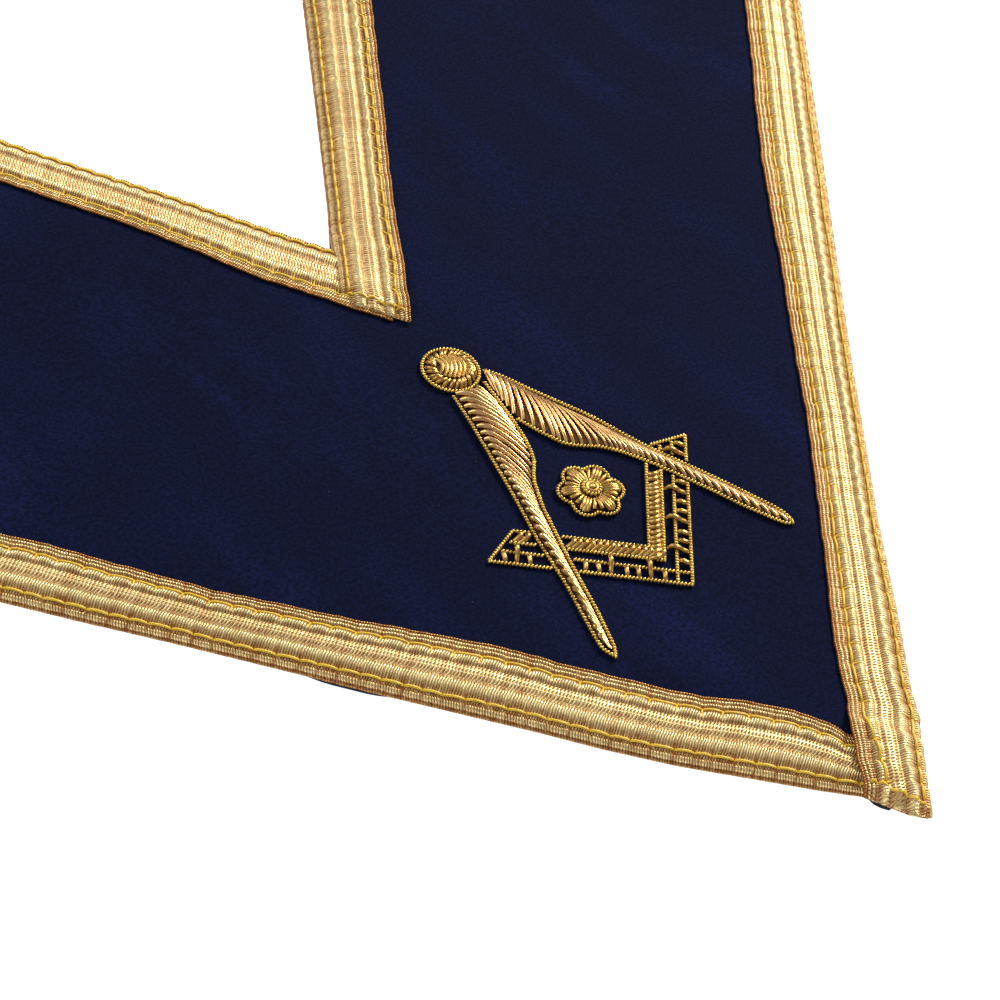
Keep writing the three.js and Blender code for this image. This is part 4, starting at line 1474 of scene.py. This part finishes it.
class StageSettings(bpy.types.PropertyGroup):
    """The floor, the lights and the camera."""

    floor_colour: colour("Floor", "Colour of the floor", (0.3, 0.3, 0.3))
    floor_glow: number("Glow", "Light that the floor gives back, as a light table", 1.05)
    key_power: number("Key", "Power of the main light", 108.0, "POWER")
    fill_power: number("Fill", "Power of the soft fill", 30.0, "POWER")
    world_strength: number("World", "Strength of the even surroundings", 0.42)
    look_at: FloatVectorProperty(
        name="Look at", description="Point at the picture's middle", unit="LENGTH",
        default=(-17.15 * MM, -179.12 * MM, 3.4 * MM),
    )
    distance: length("Distance", "Camera's distance", 469.7 * MM)
    azimuth: turn("Azimuth", "Camera's bearing", radians(-144.469))
    elevation: turn("Elevation", "Camera's height", radians(46.361))
    roll: turn("Roll", "Camera's roll", radians(17.009))
    lens: number("Lens", "Focal length in millimetres", 91.414)


def add_camera(stage):
    across = cos(stage.elevation)
    offset = Vector((across * cos(stage.azimuth), across * sin(stage.azimuth), sin(stage.elevation)))
    bpy.ops.object.camera_add(location=Vector(stage.look_at) + stage.distance * offset)
    camera = bpy.context.object
    camera.rotation_mode = "QUATERNION"
    facing = (-offset).to_track_quat("-Z", "Y")
    camera.rotation_quaternion = facing @ Euler((0, 0, stage.roll)).to_quaternion()
    camera.data.lens = stage.lens
    camera.data.clip_start = 10 * MM
    bpy.context.scene.camera = camera


def add_area_light(name, direction, size, power, tint):
    bearing = Vector(direction).normalized()
    bpy.ops.object.light_add(type="AREA", location=LIGHT_TARGET + LIGHT_DISTANCE * bearing)
    light = bpy.context.object
    light.name = name
    light.rotation_euler = (-bearing).to_track_quat("-Z", "Y").to_euler()
    light.data.shape = "DISK"
    light.data.size = size
    light.data.energy = power
    light.data.color = tint


def add_lights(stage):
    add_area_light("key", (0.85, 0.2, 0.62), 1.0, stage.key_power, (1.0, 0.98, 0.95))
    add_area_light("fill", (-0.35, 0.75, 0.9), 2.0, stage.fill_power, (0.96, 0.98, 1.0))
    world = bpy.data.worlds.new("studio")
    world.use_nodes = True
    background = world.node_tree.nodes["Background"]
    background.inputs["Color"].default_value = (1, 1, 1, 1)
    background.inputs["Strength"].default_value = stage.world_strength
    bpy.context.scene.world = world
    bpy.context.scene.view_settings.view_transform = "Standard"


def add_floor(stage):
    deselect_all()
    bpy.ops.mesh.primitive_plane_add(size=FLOOR_SIZE, location=(0, 0, -0.2 * MM))
    floor = bpy.context.object
    floor.name = "floor"
    nodes = Finish("pale_floor")
    even = nodes.noise(nodes.place(), 3.0)
    floor.data.materials.append(nodes.made({
        "Base Color": nodes.mix(even, darker(stage.floor_colour, 0.985), stage.floor_colour),
        "Roughness": 0.9,
        "Emission Color": (1, 1, 1),
        "Emission Strength": stage.floor_glow,
    }))


class AddStage(bpy.types.Operator):
    """Adds the camera, the lights and the pale floor."""

    bl_idname = "collar.add_stage"
    bl_label = "Stage"
    bl_options = {"REGISTER", "UNDO"}

    def execute(self, context):
        stage = context.scene.collar_stage
        add_camera(stage)
        add_lights(stage)
        add_floor(stage)
        return {"FINISHED"}


class AddLining(bpy.types.Operator):
    """Adds the cotton lining."""

    bl_idname = "collar.add_lining"
    bl_label = "Lining"
    bl_options = {"REGISTER", "UNDO"}

    def execute(self, context):
        make_lining(context.scene.collar_cloth)
        return {"FINISHED"}


class AddLaces(bpy.types.Operator):
    """Adds the four woven laces."""

    bl_idname = "collar.add_laces"
    bl_label = "Laces"
    bl_options = {"REGISTER", "UNDO"}

    def execute(self, context):
        settings = context.scene.collar_lace
        material = lace_material(settings)
        for lace in LACES:
            make_lace(lace, settings, material)
        return {"FINISHED"}


class AddStitches(bpy.types.Operator):
    """Adds the yellow stitches that hold the laces."""

    bl_idname = "collar.add_stitches"
    bl_label = "Stitches"
    bl_options = {"REGISTER", "UNDO"}

    def execute(self, context):
        settings = context.scene.collar_lace
        material = thread_material(settings)
        for lace in LACES:
            make_stitches(lace, settings, material)
        return {"FINISHED"}


class AddVelvet(bpy.types.Operator):
    """Adds the velvet face; the laces and stitches on it come first."""

    bl_idname = "collar.add_velvet"
    bl_label = "Velvet"
    bl_options = {"REGISTER", "UNDO"}

    def execute(self, context):
        make_velvet(context.scene.collar_cloth)
        return {"FINISHED"}


class AddEmblem(bpy.types.Operator):
    """Adds the bullion of the compasses, the square and the rosette."""

    bl_idname = "collar.add_emblem"
    bl_label = "Emblem"
    bl_options = {"REGISTER", "UNDO"}

    def execute(self, context):
        emblem = context.scene.collar_emblem
        smooth_purl = wire_material("smooth_purl", emblem.rose_colour, emblem.tarnish_and_shade_colour, 40, 0.19, 0.04)
        curled_purl = wire_material("curled_purl", emblem.curl_colour, emblem.tarnish_and_shade_colour, 14, 0.24, 0.4)
        pearl_purl = wire_material("pearl_purl", emblem.gold_colour, emblem.tarnish_and_shade_colour, 1, 0.33, 0.3)
        core = core_material(emblem)
        for leg in LEGS:
            make_leg(leg, emblem, smooth_purl, pearl_purl, core)
        make_head(emblem, curled_purl, pearl_purl, core)
        make_square(emblem, curled_purl, pearl_purl)
        make_rosette(emblem, curled_purl, pearl_purl, core)
        return {"FINISHED"}


OPERATORS = (AddStage, AddLining, AddLaces, AddStitches, AddVelvet, AddEmblem)
SETTINGS = {
    "collar_cloth": ClothSettings,
    "collar_lace": LaceSettings,
    "collar_emblem": EmblemSettings,
    "collar_stage": StageSettings,
}


class CollarPanel(bpy.types.Panel):
    """Lists the collar's operators and settings."""

    bl_idname = "VIEW3D_PT_collar"
    bl_label = "Collar"
    bl_space_type = "VIEW_3D"
    bl_region_type = "UI"
    bl_category = "Collar"

    def draw(self, context):
        for operator in OPERATORS:
            self.layout.operator(operator.bl_idname)
        for name, group in SETTINGS.items():
            box = self.layout.box()
            box.label(text=group.__doc__)
            for setting in group.__annotations__:
                box.prop(getattr(context.scene, name), setting)


def register():
    for group in SETTINGS.values():
        bpy.utils.register_class(group)
    for name, group in SETTINGS.items():
        setattr(bpy.types.Scene, name, PointerProperty(type=group))
    for operator in OPERATORS:
        bpy.utils.register_class(operator)
    bpy.utils.register_class(CollarPanel)


def unregister():
    bpy.utils.unregister_class(CollarPanel)
    for operator in reversed(OPERATORS):
        bpy.utils.unregister_class(operator)
    for name, group in SETTINGS.items():
        delattr(bpy.types.Scene, name)
        bpy.utils.unregister_class(group)


def main():
    register()
    bpy.ops.collar.add_stage()
    bpy.ops.collar.add_lining()
    bpy.ops.collar.add_laces()
    bpy.ops.collar.add_stitches()
    bpy.ops.collar.add_velvet()
    bpy.ops.collar.add_emblem()


if __name__ == "__main__":
    main()
